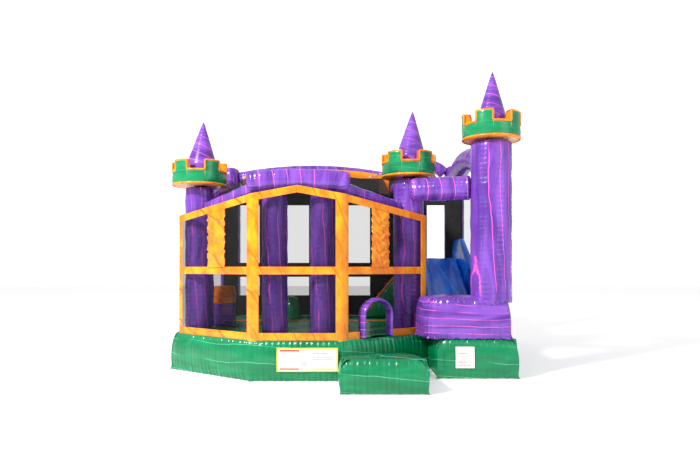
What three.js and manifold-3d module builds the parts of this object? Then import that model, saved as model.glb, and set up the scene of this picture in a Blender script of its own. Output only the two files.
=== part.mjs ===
// Castle bounce house with a slide and its air blower, blown up and standing on level ground.
// Millimetres, +Z up, front towards -Y. Every air chamber is a closed solid of its inflated outer shape.

import * as THREE from 'three';
import { mergeVertices } from 'three/addons/utils/BufferGeometryUtils.js';
import Module from 'manifold-3d';

const wasm = await Module();
wasm.setup();

// ---------- Driving dimensions ----------

const GAP = 1; // between chambers that are sewn together
const AIR_WALL = 30; // wall of the hollow base chambers

const BASE_HEIGHT = 550;
const BASE_BACK = 2240;
const BASE_BULGE = 70;
const BASE_ROUND = 95;
const DECK = BASE_HEIGHT + 2; // what stands on the base starts here

const BAY_AXIS = -550; // the three-sided front bay is symmetrical about this x
const BAY_HALF_FRONT = 600;
const BAY_HALF_BACK = 1820;
const BAY_FRONT_Y = -2400;
const BAY_BACK_Y = -1450;
const NET_THICK = 8;
const STRAP_THICK = 6;
const NET_TOP = { side: 2270, corner: 2490, peak: 2600 };
const BAND = { bottomTop: 635, midBottom: 1410, midTop: 1515, topDepth: 100 };

const STEP = { left: 30, right: 1080, front: -3330, height: 450, bulge: 60, round: 110 };

const TOWERS = {
  left: { x: -2120, y: -1280, radius: 210, foot: DECK, crownBottom: 2720, apex: 3700, phase: 6 },
  middle: { x: 1035, y: -1280, radius: 230, foot: DECK, crownBottom: 2850, apex: 3860, phase: -1 },
  right: { x: 2120, y: -1980, radius: 285, foot: 1092, crownBottom: 3265, apex: 4235, phase: 10 },
};
const CROWN = { radius: 400, height: 365, inner: 285, well: 190, notchDepth: 150, notchAngle: 38, merlons: 5 };
const CONE = { radius: 200, tip: 22 };

const FRONT_COLUMNS = { left: -880, right: -220, y: -2140, radius: 176, top: 2640 };
const REAR_COLUMNS = {
  left: { x: -2280, radius: 200, top: 3540 },
  middle: { x: 1050, radius: 200, top: 3500 },
  right: { x: 2270, radius: 200, top: 3580 },
};
const REAR_Y = 1950;
const BACK_WALL_Y = 1741; // black cloth hung just in front of the rear columns

const SIDE_BEAMS = {
  left: { front: 2430, back: 3180, radius: 130, rise: 60 },
  middle: { front: 2620, back: 3080, radius: 120, rise: 60 },
  right: { front: 2900, back: 3300, radius: 180, rise: 250 },
};

const END_WALL_TOP = 1090;
const SLIDE = { left: 1510, right: 2175, top: 1700, foot: 700, crestY: 1050, footY: -900, wallRise: 350 };
const PLATFORM = { left: 1300, back: 1740 };
const DOOR = { start: 298, end: 872, top: 1098, tube: 40, depth: 75 };

const BLOWER = { x: -1200, y: 3115, axisZ: 250, shell: 215, halfWidth: 160, wall: 8, mouth: -225 };
const IMPELLER = { radius: 160, inner: 133, back: -40, front: 80, blades: 14 };
const AIR_Z = 330; // height of the air path from the blower into the base
const SLEEVE = { outer: 130, inner: 122, start: BASE_BACK + GAP, end: BLOWER.y + BLOWER.mouth - 8 };
const SWITCH = { x: -193, y: 30, z: 250, tilt: 8 };

const ANCHORS = { left: -2150, right: 2080, z: 230, reach: 14 };
const ZIP = { start: 150, length: 620, z: 300 };

const COLUMN_SIDES = 20;
const BEAM_SIDES = 12;
const BEAM_STEPS = 6;

// ---------- Materials ----------

const COLOURS = {
  purple: 0x7a45c6,
  green: 0x079d6c,
  darkGreen: 0x05845a,
  yellow: 0xf9b40a,
  orange: 0xef8413,
  blue: 0x1287dc,
  net: 0x1c1c20,
  black: 0x17171a,
  white: 0xf2f2ee,
  rope: 0x5f8fd0,
  steel: 0xb9bcc0,
  webbing: 0x2a2a2e,
};

function vinyl(colour) {
  return new THREE.MeshStandardMaterial({ color: colour, roughness: 0.32, metalness: 0 });
}

function cloth(colour) {
  return new THREE.MeshStandardMaterial({ color: colour, roughness: 0.85, metalness: 0 });
}

function plastic(colour) {
  return new THREE.MeshStandardMaterial({ color: colour, roughness: 0.45, metalness: 0 });
}

function metal(colour) {
  return new THREE.MeshStandardMaterial({ color: colour, roughness: 0.3, metalness: 1 });
}

// ---------- Solid helpers ----------

// Keeps positions only, joins shared vertices and drops the flat triangles at poles.
function weld(geometry) {
  const bare = new THREE.BufferGeometry();
  bare.setAttribute('position', geometry.getAttribute('position').clone());
  if (geometry.index) bare.setIndex(geometry.index.clone());
  const joined = mergeVertices(bare, 1e-3);
  const kept = [];
  const index = joined.index.array;
  for (let i = 0; i < index.length; i += 3) {
    const [a, b, c] = [index[i], index[i + 1], index[i + 2]];
    if (a !== b && b !== c && c !== a) kept.push(a, b, c);
  }
  joined.setIndex(kept);
  return joined;
}

function solid(geometry) {
  const joined = weld(geometry);
  return new wasm.Manifold(new wasm.Mesh({
    numProp: 3,
    vertProperties: new Float32Array(joined.getAttribute('position').array),
    triVerts: new Uint32Array(joined.index.array),
  }));
}

function geometryOf(body) {
  const mesh = body.getMesh();
  const geometry = new THREE.BufferGeometry();
  geometry.setAttribute('position', new THREE.BufferAttribute(new Float32Array(mesh.vertProperties), 3));
  geometry.setIndex(new THREE.BufferAttribute(new Uint32Array(mesh.triVerts), 1));
  geometry.computeVertexNormals();
  return geometry;
}

function cut(geometry, cutters) {
  return geometryOf(cutters.reduce((rest, cutter) => rest.subtract(solid(cutter)), solid(geometry)));
}

function join(geometries) {
  return geometryOf(geometries.slice(1).reduce((sum, g) => sum.add(solid(g)), solid(geometries[0])));
}

function piece(name, geometry, material) {
  const mesh = new THREE.Mesh(geometry, material);
  mesh.name = name;
  return mesh;
}

function box(x0, x1, y0, y1, z0, z1) {
  return new THREE.BoxGeometry(x1 - x0, y1 - y0, z1 - z0)
    .translate((x0 + x1) / 2, (y0 + y1) / 2, (z0 + z1) / 2);
}

// A straight-sided outline of [x, y] points.
function outline(points) {
  return new THREE.Shape(points.map(([x, y]) => new THREE.Vector2(x, y)));
}

// A level inflated slab: its sides swell out to the outline, its top and bottom stay flat.
function inflatedSlab(shape, bottom, top, bulge, round, inset = 0) {
  return new THREE.ExtrudeGeometry(shape, {
    depth: top - bottom - 2 * round,
    bevelThickness: round,
    bevelSize: bulge,
    bevelOffset: -bulge - inset,
    bevelSegments: 3,
  }).translate(0, 0, bottom + round);
}

function plate(shape, depth) {
  return new THREE.ExtrudeGeometry(shape, { depth, bevelEnabled: false, curveSegments: 8 });
}

// A shape drawn in (y, z) and thickened along x.
function sideProfile(points, x0, x1) {
  return plate(outline(points), x1 - x0)
    .applyMatrix4(new THREE.Matrix4().makeBasis(
      new THREE.Vector3(0, 1, 0), new THREE.Vector3(0, 0, 1), new THREE.Vector3(1, 0, 0)))
    .translate(x0, 0, 0);
}

function turned(profile, sides) {
  return new THREE.LatheGeometry(profile.map(([r, z]) => new THREE.Vector2(r, z)), sides).rotateX(Math.PI / 2);
}

function uprightTube({ x, y, radius, bottom, top, round = 40, grow = 0 }) {
  const r = radius + grow;
  return turned([
    [0, bottom - grow], [r - round, bottom - grow], [r, bottom + round],
    [r, top - round], [r - round, top + grow], [0, top + grow],
  ], COLUMN_SIDES).translate(x, y, 0);
}

// A round-ended tube between two points, lifted into an arch by "rise" at its middle.
function beam(from, to, radius, rise = 0) {
  const start = new THREE.Vector3(...from);
  const along = new THREE.Vector3(...to).sub(start);
  const length = along.length();
  const direction = along.clone().normalize();
  const geometry = new THREE.CapsuleGeometry(radius, length, 3, BEAM_SIDES, BEAM_STEPS)
    .applyQuaternion(new THREE.Quaternion().setFromUnitVectors(new THREE.Vector3(0, 1, 0), direction))
    .translate(...start.clone().addScaledVector(along, 0.5).toArray());
  const position = geometry.getAttribute('position');
  const point = new THREE.Vector3();
  for (let i = 0; i < position.count; i += 1) {
    point.fromBufferAttribute(position, i);
    const share = THREE.MathUtils.clamp(point.clone().sub(start).dot(direction) / length, 0, 1);
    position.setZ(i, point.z + rise * 4 * share * (1 - share));
  }
  return geometry;
}

// Stands a flat piece, drawn in (distance along the wall, height), on the wall between two plan points.
function onWall(name, from, to, geometry, outward, material) {
  const wall = new THREE.Group();
  wall.position.set(from[0], from[1], 0);
  wall.rotation.z = Math.atan2(to[1] - from[1], to[0] - from[0]);
  const mesh = piece(name, geometry, material);
  mesh.rotation.x = Math.PI / 2;
  mesh.position.y = -outward;
  wall.add(mesh);
  return wall;
}

// ---------- Plan of the bay ----------

const BAY = {
  leftEnd: [BAY_AXIS - BAY_HALF_BACK, BAY_BACK_Y],
  leftCorner: [BAY_AXIS - BAY_HALF_FRONT, BAY_FRONT_Y],
  rightCorner: [BAY_AXIS + BAY_HALF_FRONT, BAY_FRONT_Y],
  rightEnd: [BAY_AXIS + BAY_HALF_BACK, BAY_BACK_Y],
};
const SIDE_LENGTH = Math.hypot(BAY_HALF_BACK - BAY_HALF_FRONT, BAY_BACK_Y - BAY_FRONT_Y);
const FRONT_LENGTH = 2 * BAY_HALF_FRONT;

// ---------- Base ----------

function airPortAlongY(x, y0, y1, z, radius) {
  return new THREE.CylinderGeometry(radius, radius, y1 - y0, 16).translate(x, (y0 + y1) / 2, z);
}

function airPortAlongX(x0, x1, y, z, radius) {
  return new THREE.CylinderGeometry(radius, radius, x1 - x0, 16)
    .rotateZ(Math.PI / 2).translate((x0 + x1) / 2, y, z);
}

// A hollow base chamber: outer skin, air space inside it, and the ports that the air comes through.
function baseChamber(points, ports) {
  const skin = inflatedSlab(outline(points), 0, BASE_HEIGHT, BASE_BULGE, BASE_ROUND);
  const air = inflatedSlab(outline(points), AIR_WALL, BASE_HEIGHT - AIR_WALL, BASE_BULGE, BASE_ROUND, AIR_WALL);
  return cut(skin, [air, ...ports]);
}

function base() {
  const group = new THREE.Group();
  const link = airPortAlongX(1250, 1400, 600, 280, 110);
  const bounce = baseChamber(
    [[-2480, -1480], [-1180, -2470], [80, -2470], [1320, -1500], [1320, BASE_BACK], [-2480, BASE_BACK]],
    [link, airPortAlongY(BLOWER.x, BASE_BACK - 150, BASE_BACK + 50, AIR_Z, SLEEVE.inner)]);
  const slide = baseChamber([[1324, -2280], [2420, -2280], [2420, BASE_BACK], [1324, BASE_BACK]], [link]);
  const step = inflatedSlab(
    outline([[STEP.left, STEP.front], [STEP.right, STEP.front], [STEP.right, -1702], [STEP.left, -2523]]),
    0, STEP.height, STEP.bulge, STEP.round);
  group.add(
    piece('bounce_base', bounce, vinyl(COLOURS.green)),
    piece('slide_base', slide, vinyl(COLOURS.green)),
    piece('entrance_step', weld(step), vinyl(COLOURS.green)),
  );
  return group;
}

// ---------- Towers ----------

function crownGeometry(phase) {
  const { radius, height, inner, well, notchDepth, notchAngle, merlons } = CROWN;
  const drum = turned([
    [0, 0], [radius - 30, 0], [radius, 35], [radius, height - 25], [radius - 25, height],
    [inner + 25, height], [inner, height - 25], [inner, height - well], [0, height - well],
  ], 25);
  const half = THREE.MathUtils.degToRad(notchAngle / 2);
  const wedge = [[-half, inner - 40], [half, inner - 40], [half, radius + 60], [-half, radius + 60]]
    .map(([angle, r]) => [r * Math.sin(angle), -r * Math.cos(angle)]);
  const notches = Array.from({ length: merlons }, (_, i) => plate(outline(wedge), notchDepth + 50)
    .translate(0, 0, height - notchDepth)
    .rotateZ(THREE.MathUtils.degToRad(phase + i * 360 / merlons)));
  return cut(drum, notches);
}

function tower(side) {
  const { x, y, radius, foot, crownBottom, apex, phase } = TOWERS[side];
  const group = new THREE.Group();
  const column = uprightTube({ x: 0, y: 0, radius, bottom: foot, top: crownBottom - GAP });
  const crown = piece(`crown_${side}`, crownGeometry(phase), vinyl(COLOURS.darkGreen));
  crown.position.z = crownBottom;
  const crownTop = crownBottom + CROWN.height;
  const cone = turned([
    [0, crownTop - CROWN.well + GAP], [CONE.radius - 12, crownTop - CROWN.well + GAP],
    [CONE.radius, crownTop - 20], [CONE.radius - 14, crownTop + 15],
    [CONE.tip + 8, apex - 40], [CONE.tip, apex - 12], [0, apex],
  ], COLUMN_SIDES);
  group.add(
    piece(`tower_column_${side}`, weld(column), vinyl(COLOURS.purple)),
    crown,
    piece(`cone_${side}`, weld(cone), vinyl(COLOURS.purple)),
  );
  group.position.set(x, y, 0);
  return group;
}

function towerCutter(side) {
  const { x, y, radius, foot, crownBottom } = TOWERS[side];
  return uprightTube({ x, y, radius, bottom: foot, top: crownBottom, grow: GAP });
}

// ---------- Columns and beams ----------

function frontColumn(side, grow = 0) {
  const { y, radius, top } = FRONT_COLUMNS;
  return uprightTube({ x: FRONT_COLUMNS[side], y, radius, bottom: DECK, top, grow });
}

// The rear columns end in a dome.
function rearColumn(side, grow = 0) {
  const { x, radius, top } = REAR_COLUMNS[side];
  const r = radius + grow;
  const dome = [0, 25, 50, 70, 90].map((degrees) => {
    const angle = THREE.MathUtils.degToRad(degrees);
    return [r * Math.cos(angle), top - radius + r * Math.sin(angle)];
  });
  dome[dome.length - 1][0] = 0;
  return turned([[0, DECK - grow], [r - 40, DECK - grow], [r, DECK + 40], ...dome], COLUMN_SIDES)
    .translate(x, REAR_Y, 0);
}

function at(place, z) {
  return [place.x, place.y ?? REAR_Y, z];
}

// The roof beams run from each tower back to the rear column behind it.
function sideBeam(side, grow = 0) {
  const { front, back, radius, rise } = SIDE_BEAMS[side];
  return beam(at(TOWERS[side], front), at(REAR_COLUMNS[side], back), radius + grow, rise);
}

function columnsAndBeams() {
  const group = new THREE.Group();
  const frontBeam = (grow) => beam([-1110, -2235, 2655], [10, -2235, 2655], 150 + grow, 35);
  const frontBeamCutter = frontBeam(GAP);
  group.add(piece('front_beam', weld(frontBeam(0)), vinyl(COLOURS.purple)));

  for (const side of ['left', 'right']) {
    const geometry = cut(frontColumn(side), [frontBeamCutter]);
    group.add(piece(`front_column_${side}`, geometry, vinyl(COLOURS.purple)));
  }
  for (const side of ['left', 'middle', 'right']) {
    group.add(piece(`rear_column_${side}`, weld(rearColumn(side)), vinyl(COLOURS.purple)));
  }

  const bayBeams = { left: ['left', -1090], right: ['middle', -10] };
  for (const [side, [towerSide, frontX]] of Object.entries(bayBeams)) {
    const geometry = cut(beam(at(TOWERS[towerSide], 2350), [frontX, -2235, 2590], 95),
      [towerCutter(towerSide), frontBeamCutter, frontColumn(side, GAP)]);
    group.add(piece(`bay_beam_${side}`, geometry, vinyl(COLOURS.purple)));
  }

  for (const side of ['left', 'middle', 'right']) {
    const geometry = cut(sideBeam(side), [towerCutter(side), rearColumn(side, GAP)]);
    group.add(piece(`side_beam_${side}`, geometry, vinyl(COLOURS.purple)));
  }

  const slideFront = cut(beam([1170, -1670, 2630], at(TOWERS.right, 2630), 170),
    [towerCutter('middle'), towerCutter('right')]);
  const backArch = cut(beam(at(REAR_COLUMNS.left, 3300), at(REAR_COLUMNS.middle, 3300), 140, 140),
    [rearColumn('left', GAP), rearColumn('middle', GAP)]);
  const slideArch = cut(beam(at(REAR_COLUMNS.middle, 3340), at(REAR_COLUMNS.right, 3420), 120, 220),
    [rearColumn('middle', GAP), rearColumn('right', GAP), sideBeam('right', GAP)]);
  group.add(
    piece('slide_front_beam', slideFront, vinyl(COLOURS.purple)),
    piece('back_arch', backArch, vinyl(COLOURS.purple)),
    piece('slide_back_arch', slideArch, vinyl(COLOURS.purple)),
  );
  return group;
}

// ---------- Bay walls: netting with sewn straps, and the crawl-in arch ----------

function strapFrame(outer, windows) {
  return cut(plate(outline(outer), STRAP_THICK),
    windows.map((window) => plate(outline(window), STRAP_THICK + 4).translate(0, 0, -2)));
}

function bayWalls() {
  const group = new THREE.Group();
  const { leftEnd, leftCorner, rightCorner, rightEnd } = BAY;
  const { side, corner, peak } = NET_TOP;
  const { bottomTop, midBottom, midTop, topDepth } = BAND;
  const strapOut = NET_THICK + GAP;
  const edge = 90;
  const slopeTop = (s) => side + (corner - side) * s / SIDE_LENGTH - topDepth;
  const gableTop = (s) => corner + (peak - corner) * (1 - Math.abs(2 * s / FRONT_LENGTH - 1)) - topDepth;

  // left wall
  const left = [[4, DECK], [SIDE_LENGTH - 8, DECK], [SIDE_LENGTH - 8, corner], [4, side]];
  const leftFrame = strapFrame(left, [
    [[75, midTop], [664, midTop], [664, slopeTop(664)], [75, slopeTop(75)]],
    [[1026, midTop], [1456, midTop], [1456, slopeTop(1456)], [1026, slopeTop(1026)]],
    [[75, bottomTop], [1456, bottomTop], [1456, midBottom], [75, midBottom]],
  ]);
  group.add(
    onWall('net_bay_left', leftEnd, leftCorner, plate(outline(left), NET_THICK), 0, cloth(COLOURS.net)),
    onWall('strap_frame_left', leftEnd, leftCorner, leftFrame, strapOut, vinyl(COLOURS.yellow)),
  );

  // front wall
  const front = [[8, DECK], [FRONT_LENGTH - 8, DECK], [FRONT_LENGTH - 8, corner], [FRONT_LENGTH / 2, peak],
    [8, corner]];
  const right = FRONT_LENGTH - edge;
  const frontFrame = strapFrame(front, [
    [[edge, midTop], [right, midTop], [right, gableTop(right)], [FRONT_LENGTH / 2, peak - topDepth],
      [edge, gableTop(edge)]],
    [[edge, bottomTop], [right, bottomTop], [right, midBottom], [edge, midBottom]],
  ]);
  group.add(
    onWall('net_bay_front', leftCorner, rightCorner, plate(outline(front), NET_THICK), 0, cloth(COLOURS.net)),
    onWall('strap_frame_front', leftCorner, rightCorner, frontFrame, strapOut, vinyl(COLOURS.yellow)),
  );

  // right wall, open at the crawl-in doorway
  const fallTop = (s) => slopeTop(SIDE_LENGTH - s);
  const doorLeft = DOOR.start - 8;
  const doorRight = DOOR.end + 8;
  const doorTop = DOOR.top + 8;
  const end = SIDE_LENGTH - 4;
  const net = outline([[8, DECK], [doorLeft, DECK], [doorLeft, doorTop - 200], [doorLeft + 90, doorTop - 55],
    [doorLeft + 215, doorTop], [doorRight - 215, doorTop], [doorRight - 90, doorTop - 55],
    [doorRight, doorTop - 200], [doorRight, DECK], [end, DECK], [end, side], [8, corner]]);
  const rightFrame = strapFrame([
    [8, DECK], [doorLeft, DECK], [doorLeft, bottomTop], [edge, bottomTop], [edge, midBottom], [1436, midBottom],
    [1436, bottomTop], [doorRight, bottomTop], [doorRight, DECK], [end, DECK], [end, side], [8, corner],
  ], [
    [[edge, midTop], [489, midTop], [489, fallTop(489)], [edge, fallTop(edge)]],
    [[805, midTop], [1436, midTop], [1436, fallTop(1436)], [805, fallTop(805)]],
  ]);
  group.add(
    onWall('net_bay_right', rightCorner, rightEnd, plate(net, NET_THICK), 0, cloth(COLOURS.net)),
    onWall('strap_frame_right', rightCorner, rightEnd, rightFrame, strapOut, vinyl(COLOURS.yellow)),
  );
  return group;
}

// An oval tube bent into an upside-down U around the doorway, standing on the base.
function entranceArch() {
  const { rightCorner, rightEnd } = BAY;
  const middle = (DOOR.start + DOOR.end) / 2;
  const reach = (DOOR.end - DOOR.start) / 2 - DOOR.tube;
  const spring = 850;
  const rise = DOOR.top - DOOR.tube - spring;
  const points = [[middle - reach, DECK], [middle - reach, (DECK + spring) / 2]];
  for (let degrees = 180; degrees >= 0; degrees -= 20) {
    const angle = THREE.MathUtils.degToRad(degrees);
    points.push([middle + reach * Math.cos(angle), spring + rise * Math.sin(angle)]);
  }
  points.push([middle + reach, (DECK + spring) / 2], [middle + reach, DECK]);
  const path = new THREE.CatmullRomCurve3(points.map(([s, z]) => new THREE.Vector3(s, 0, z)), false, 'centripetal');
  const section = new THREE.Shape(Array.from({ length: 12 }, (_, i) => {
    const angle = i * Math.PI / 6;
    return new THREE.Vector2(DOOR.depth * Math.cos(angle), DOOR.tube * Math.sin(angle));
  }));
  const tube = new THREE.ExtrudeGeometry(section, { steps: 26, extrudePath: path, bevelEnabled: false });
  const wall = new THREE.Group();
  wall.position.set(rightCorner[0], rightCorner[1], 0);
  wall.rotation.z = Math.atan2(rightEnd[1] - rightCorner[1], rightEnd[0] - rightCorner[0]);
  wall.add(piece('entrance_arch', weld(tube), vinyl(COLOURS.purple)));
  return wall;
}

// ---------- Other walls and the roof ----------

function otherWalls() {
  const group = new THREE.Group();
  const leftNet = sideProfile([[-1438, DECK], [1738, DECK], [1738, 2964], [-1438, 2270]], -2384, -2384 + NET_THICK);
  const divider = sideProfile([[-1200, DECK], [1040, DECK], [1040, 2820], [-1200, 2480]], 1288, 1288 + NET_THICK);
  const slideNet = sideProfile([[-1675, DECK], [1738, DECK], [1738, 3000], [-1675, 2740]],
    2346, 2346 + NET_THICK);
  const backSheet = plate(outline([[-2390, DECK], [2400, DECK], [2400, 3000], [1300, 3000], [1200, 3270],
    [-1900, 3270], [-2100, 3000], [-2390, 3000]]), NET_THICK)
    .rotateX(Math.PI / 2).translate(0, BACK_WALL_Y + NET_THICK, 0);
  const backWall = cut(backSheet, [sideBeam('middle', GAP)]);
  group.add(
    piece('net_side_left', leftNet, cloth(COLOURS.net)),
    piece('net_divider', divider, cloth(COLOURS.net)),
    piece('net_slide_side', slideNet, cloth(COLOURS.net)),
    piece('back_wall', backWall, cloth(COLOURS.black)),
  );
  return group;
}

// The roof net is flat over the middle and folds down to the two towers of the bay.
function roofNet() {
  const thick = 12;
  const panel = (points) => {
    const top = points.map(([x, y, z]) => new THREE.Vector3(x, y, z));
    const geometry = plate(outline(points.map(([x, y]) => [x, y])), thick);
    const normal = top[1].clone().sub(top[0]).cross(top[2].clone().sub(top[0])).normalize();
    const position = geometry.getAttribute('position');
    for (let i = 0; i < position.count; i += 1) {
      const lift = top[0].z - (normal.x * (position.getX(i) - top[0].x)
        + normal.y * (position.getY(i) - top[0].y)) / normal.z;
      position.setZ(i, position.getZ(i) + lift);
    }
    return geometry;
  };
  const frontLeft = [-1000, -2070, 2720];
  const frontRight = [-100, -2070, 2720];
  const backLeft = [-1960, 1790, 3290];
  const backRight = [810, 1790, 3290];
  const towerLeft = [-1880, -1180, 2580];
  const towerRight = [780, -1180, 2580];
  return piece('roof_net', join([
    panel([frontLeft, frontRight, backRight, backLeft]),
    panel([towerLeft, frontLeft, backLeft]),
    panel([frontRight, towerRight, backRight]),
  ]), cloth(COLOURS.net));
}

// ---------- Slide and play pieces ----------

function slideAndPlay() {
  const group = new THREE.Group();
  const { left, right, top, foot, crestY, footY, wallRise } = SLIDE;
  const wallFront = -1545;
  const lip = foot + wallRise;
  const bed = join([
    sideProfile([[footY, DECK], [footY, foot], [crestY, top], [crestY + 40, top], [crestY + 40, DECK]], left, right),
    box(PLATFORM.left, right, crestY + 8, PLATFORM.back, DECK, top),
  ]);
  const leftWall = sideProfile([[wallFront, DECK], [wallFront, lip], [footY, lip], [crestY, top + wallRise],
    [crestY, DECK]], 1335, left - 4);
  const rightWall = sideProfile([[wallFront, DECK], [wallFront, lip], [footY, lip], [crestY, top + wallRise],
    [PLATFORM.back, top + wallRise], [PLATFORM.back, DECK]], right + 4, 2340);
  const landing = box(left, right, wallFront, footY - 4, DECK, foot);
  const endWall = inflatedSlab(
    outline([[1100, -1680], [1220, -2200], [1300, -2262], [2290, -2262], [2330, -2220], [2330, -1600],
      [1290, -1560]]),
    DECK, END_WALL_TOP, 50, 80);
  const ramp = plate(outline([[350, DECK], [1285, DECK], [1285, top - 10]]), PLATFORM.back - crestY - 16)
    .rotateX(Math.PI / 2).translate(0, PLATFORM.back, 0);
  const pillar = inflatedSlab(outline([[-160, -160], [160, -160], [160, 160], [-160, 160]]), 0, 660, 25, 45)
    .translate(-1900, -500, DECK);
  const bump = turned([[0, 0], [190, 0], [205, 60], [195, 200], [150, 320], [80, 385], [0, 400]], 16)
    .translate(-980, 1250, DECK);
  group.add(
    piece('slide_bed', bed, vinyl(COLOURS.blue)),
    piece('slide_wall_left', leftWall, vinyl(COLOURS.blue)),
    piece('slide_wall_right', rightWall, vinyl(COLOURS.blue)),
    piece('slide_landing', landing, vinyl(COLOURS.blue)),
    piece('end_wall', weld(endWall), vinyl(COLOURS.purple)),
    piece('climb_ramp', ramp, vinyl(COLOURS.green)),
    piece('pillar_obstacle', weld(pillar), vinyl(COLOURS.orange)),
    piece('dome_obstacle', weld(bump), vinyl(COLOURS.green)),
  );
  return group;
}

// ---------- Labels and tie rope ----------

function labels() {
  const group = new THREE.Group();
  group.add(
    piece('warning_label', box(-812, -7, -2475, -2471, 138, 450), plastic(COLOURS.white)),
    piece('rules_label', box(1567, 1820, -2285, -2281, 153, 441), plastic(COLOURS.white)),
  );
  return group;
}

// A short tie rope, from the roof net behind the middle tower up and over to the beam beside it.
function tieRope() {
  const points = [[440, -760, 2940], [600, -700, 3000], [760, -600, 3050], [930, -490, 3010], [1040, -430, 2925]];
  const path = new THREE.CatmullRomCurve3(points.map((p) => new THREE.Vector3(...p)));
  const section = new THREE.Shape(Array.from({ length: 8 }, (_, i) => {
    const angle = i * Math.PI / 4;
    return new THREE.Vector2(9 * Math.cos(angle), 9 * Math.sin(angle));
  }));
  const tube = new THREE.ExtrudeGeometry(section, { steps: 12, extrudePath: path, bevelEnabled: false });
  return piece('tie_rope', weld(tube), cloth(COLOURS.rope));
}

// ---------- Anchors and deflation zip on the back of the base ----------

function ringAlongX(outer, inner, x0, x1) {
  const shape = new THREE.Shape().absarc(0, 0, outer, 0, 2 * Math.PI);
  shape.holes = [new THREE.Path().absarc(0, 0, inner, 0, 2 * Math.PI, true)];
  return plate(shape, x1 - x0).rotateY(Math.PI / 2).translate(x0, 0, 0);
}

// A sewn patch on the base with a webbing loop, and the steel D that swings in the loop.
function anchor(side) {
  const group = new THREE.Group();
  group.position.set(ANCHORS[side], BASE_BACK + GAP, ANCHORS.z);
  const patch = join([box(-65, 65, 0, 5, -55, 65), ringAlongX(12, 8, -25, 25).translate(0, ANCHORS.reach, 0)]);
  const bow = (radius, top) => {
    const path = new THREE.Shape();
    path.moveTo(-radius, top);
    path.lineTo(-radius, -15);
    path.absarc(0, -15, radius, Math.PI, 2 * Math.PI, false);
    path.lineTo(radius, top);
    path.closePath();
    return path;
  };
  const steel = bow(43, 5);
  steel.holes = [bow(33, -5)];
  const ring = piece(`d_ring_${side}`, weld(plate(steel, 8).rotateX(Math.PI / 2).translate(0, 4, 0)),
    metal(COLOURS.steel));
  ring.position.y = ANCHORS.reach;
  group.add(piece(`anchor_patch_${side}`, patch, cloth(COLOURS.webbing)), ring);
  return group;
}

// The zip that lets the air out: a tape with a raised chain, and the slider that straddles the chain.
function deflationZip() {
  const group = new THREE.Group();
  group.position.set(ZIP.start, BASE_BACK + GAP, ZIP.z);
  const tape = join([box(0, ZIP.length, 0, 3, -35, 35), box(10, ZIP.length - 10, 2, 7, -4, 4)]);
  const slider = cut(join([box(14, 48, 3.6, 15, -12, 12), box(24, 38, 13, 16, -60, 8)]),
    [box(0, 60, 3, 8, -5, 5)]);
  group.add(piece('zip_tape', tape, cloth(COLOURS.black)), piece('zip_slider', slider, metal(COLOURS.steel)));
  return group;
}

// ---------- Blower and inflation sleeve ----------

// The scroll of the blower in (y, z): round behind and below, square at the mouth.
function scroll(inset) {
  const { axisZ, shell, mouth } = BLOWER;
  const radius = shell - inset;
  const points = [];
  for (let degrees = 90; degrees >= -170; degrees -= 15) {
    const angle = THREE.MathUtils.degToRad(degrees);
    points.push([radius * Math.cos(angle), axisZ + radius * Math.sin(angle)]);
  }
  points.push([mouth + inset, axisZ - 45 + inset], [mouth + inset, axisZ + radius]);
  return points;
}

function blowerHousing() {
  const { axisZ, halfWidth, wall, mouth } = BLOWER;
  const intake = 100;
  const nozzle = airPortAlongY(0, mouth - 75, mouth + 5, AIR_Z, SLEEVE.inner - 4);
  const bore = airPortAlongY(0, mouth - 90, mouth + 30, AIR_Z, SLEEVE.inner - 12);
  const skids = [-130, 130].map((x) => box(x - 20, x + 20, -150, 150, 0, 60));
  const handlePath = new THREE.CatmullRomCurve3(
    [[0, -190, 455], [0, -178, 510], [0, -150, 522], [0, -70, 522], [0, -42, 510], [0, -30, 455]]
      .map((p) => new THREE.Vector3(...p)));
  const handleSection = new THREE.Shape().absarc(0, 0, 9, 0, 2 * Math.PI);
  const handle = new THREE.ExtrudeGeometry(handleSection,
    { steps: 14, curveSegments: 4, extrudePath: handlePath, bevelEnabled: false });
  const terminalBox = box(-200, -halfWidth + 1, -40, 100, 205, 300);
  const gland = new THREE.CylinderGeometry(14, 14, 30, 12).rotateX(Math.PI / 2).translate(-180, 70, 195);
  const outside = join([sideProfile(scroll(0), -halfWidth, halfWidth), nozzle, ...skids, handle, terminalBox, gland]);
  const pocket = box(-201, -184, SWITCH.y - 18, SWITCH.y + 18, SWITCH.z - 12, SWITCH.z + 12);
  const pinHole = new THREE.CylinderGeometry(3.2, 3.2, 31, 10).rotateX(Math.PI / 2)
    .translate(SWITCH.x, SWITCH.y, SWITCH.z);
  const cableHole = new THREE.CylinderGeometry(5, 5, 40, 10).rotateX(Math.PI / 2).translate(-180, 70, 185);
  const intakeHole = airPortAlongX(halfWidth - wall - 5, halfWidth + 5, 0, axisZ, intake);
  const open = cut(outside, [sideProfile(scroll(wall), wall - halfWidth, halfWidth - wall), bore, pocket, pinHole,
    cableHole, intakeHole]);
  const bars = [-75, -50, -25, 0, 25, 50, 75].map((z) => {
    const reach = Math.sqrt(intake ** 2 - z ** 2) + 6;
    return box(halfWidth - wall, halfWidth, -reach, reach, axisZ + z - 3, axisZ + z + 3);
  });
  return join([open, ...bars]);
}

function impeller() {
  const { radius, inner, back, front, blades } = IMPELLER;
  const hub = ringAlongX(22, 9, back, 25);
  const plateRing = ringAlongX(radius, 20, back, back + 5);
  const frontRing = ringAlongX(radius, inner, front - 5, front);
  const vanes = Array.from({ length: blades }, (_, i) => box(back + 4, front - 4, -2.5, 2.5, inner + 1, radius - 1)
    .rotateX(i * 2 * Math.PI / blades));
  return join([hub, plateRing, frontRing, ...vanes]);
}

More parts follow.
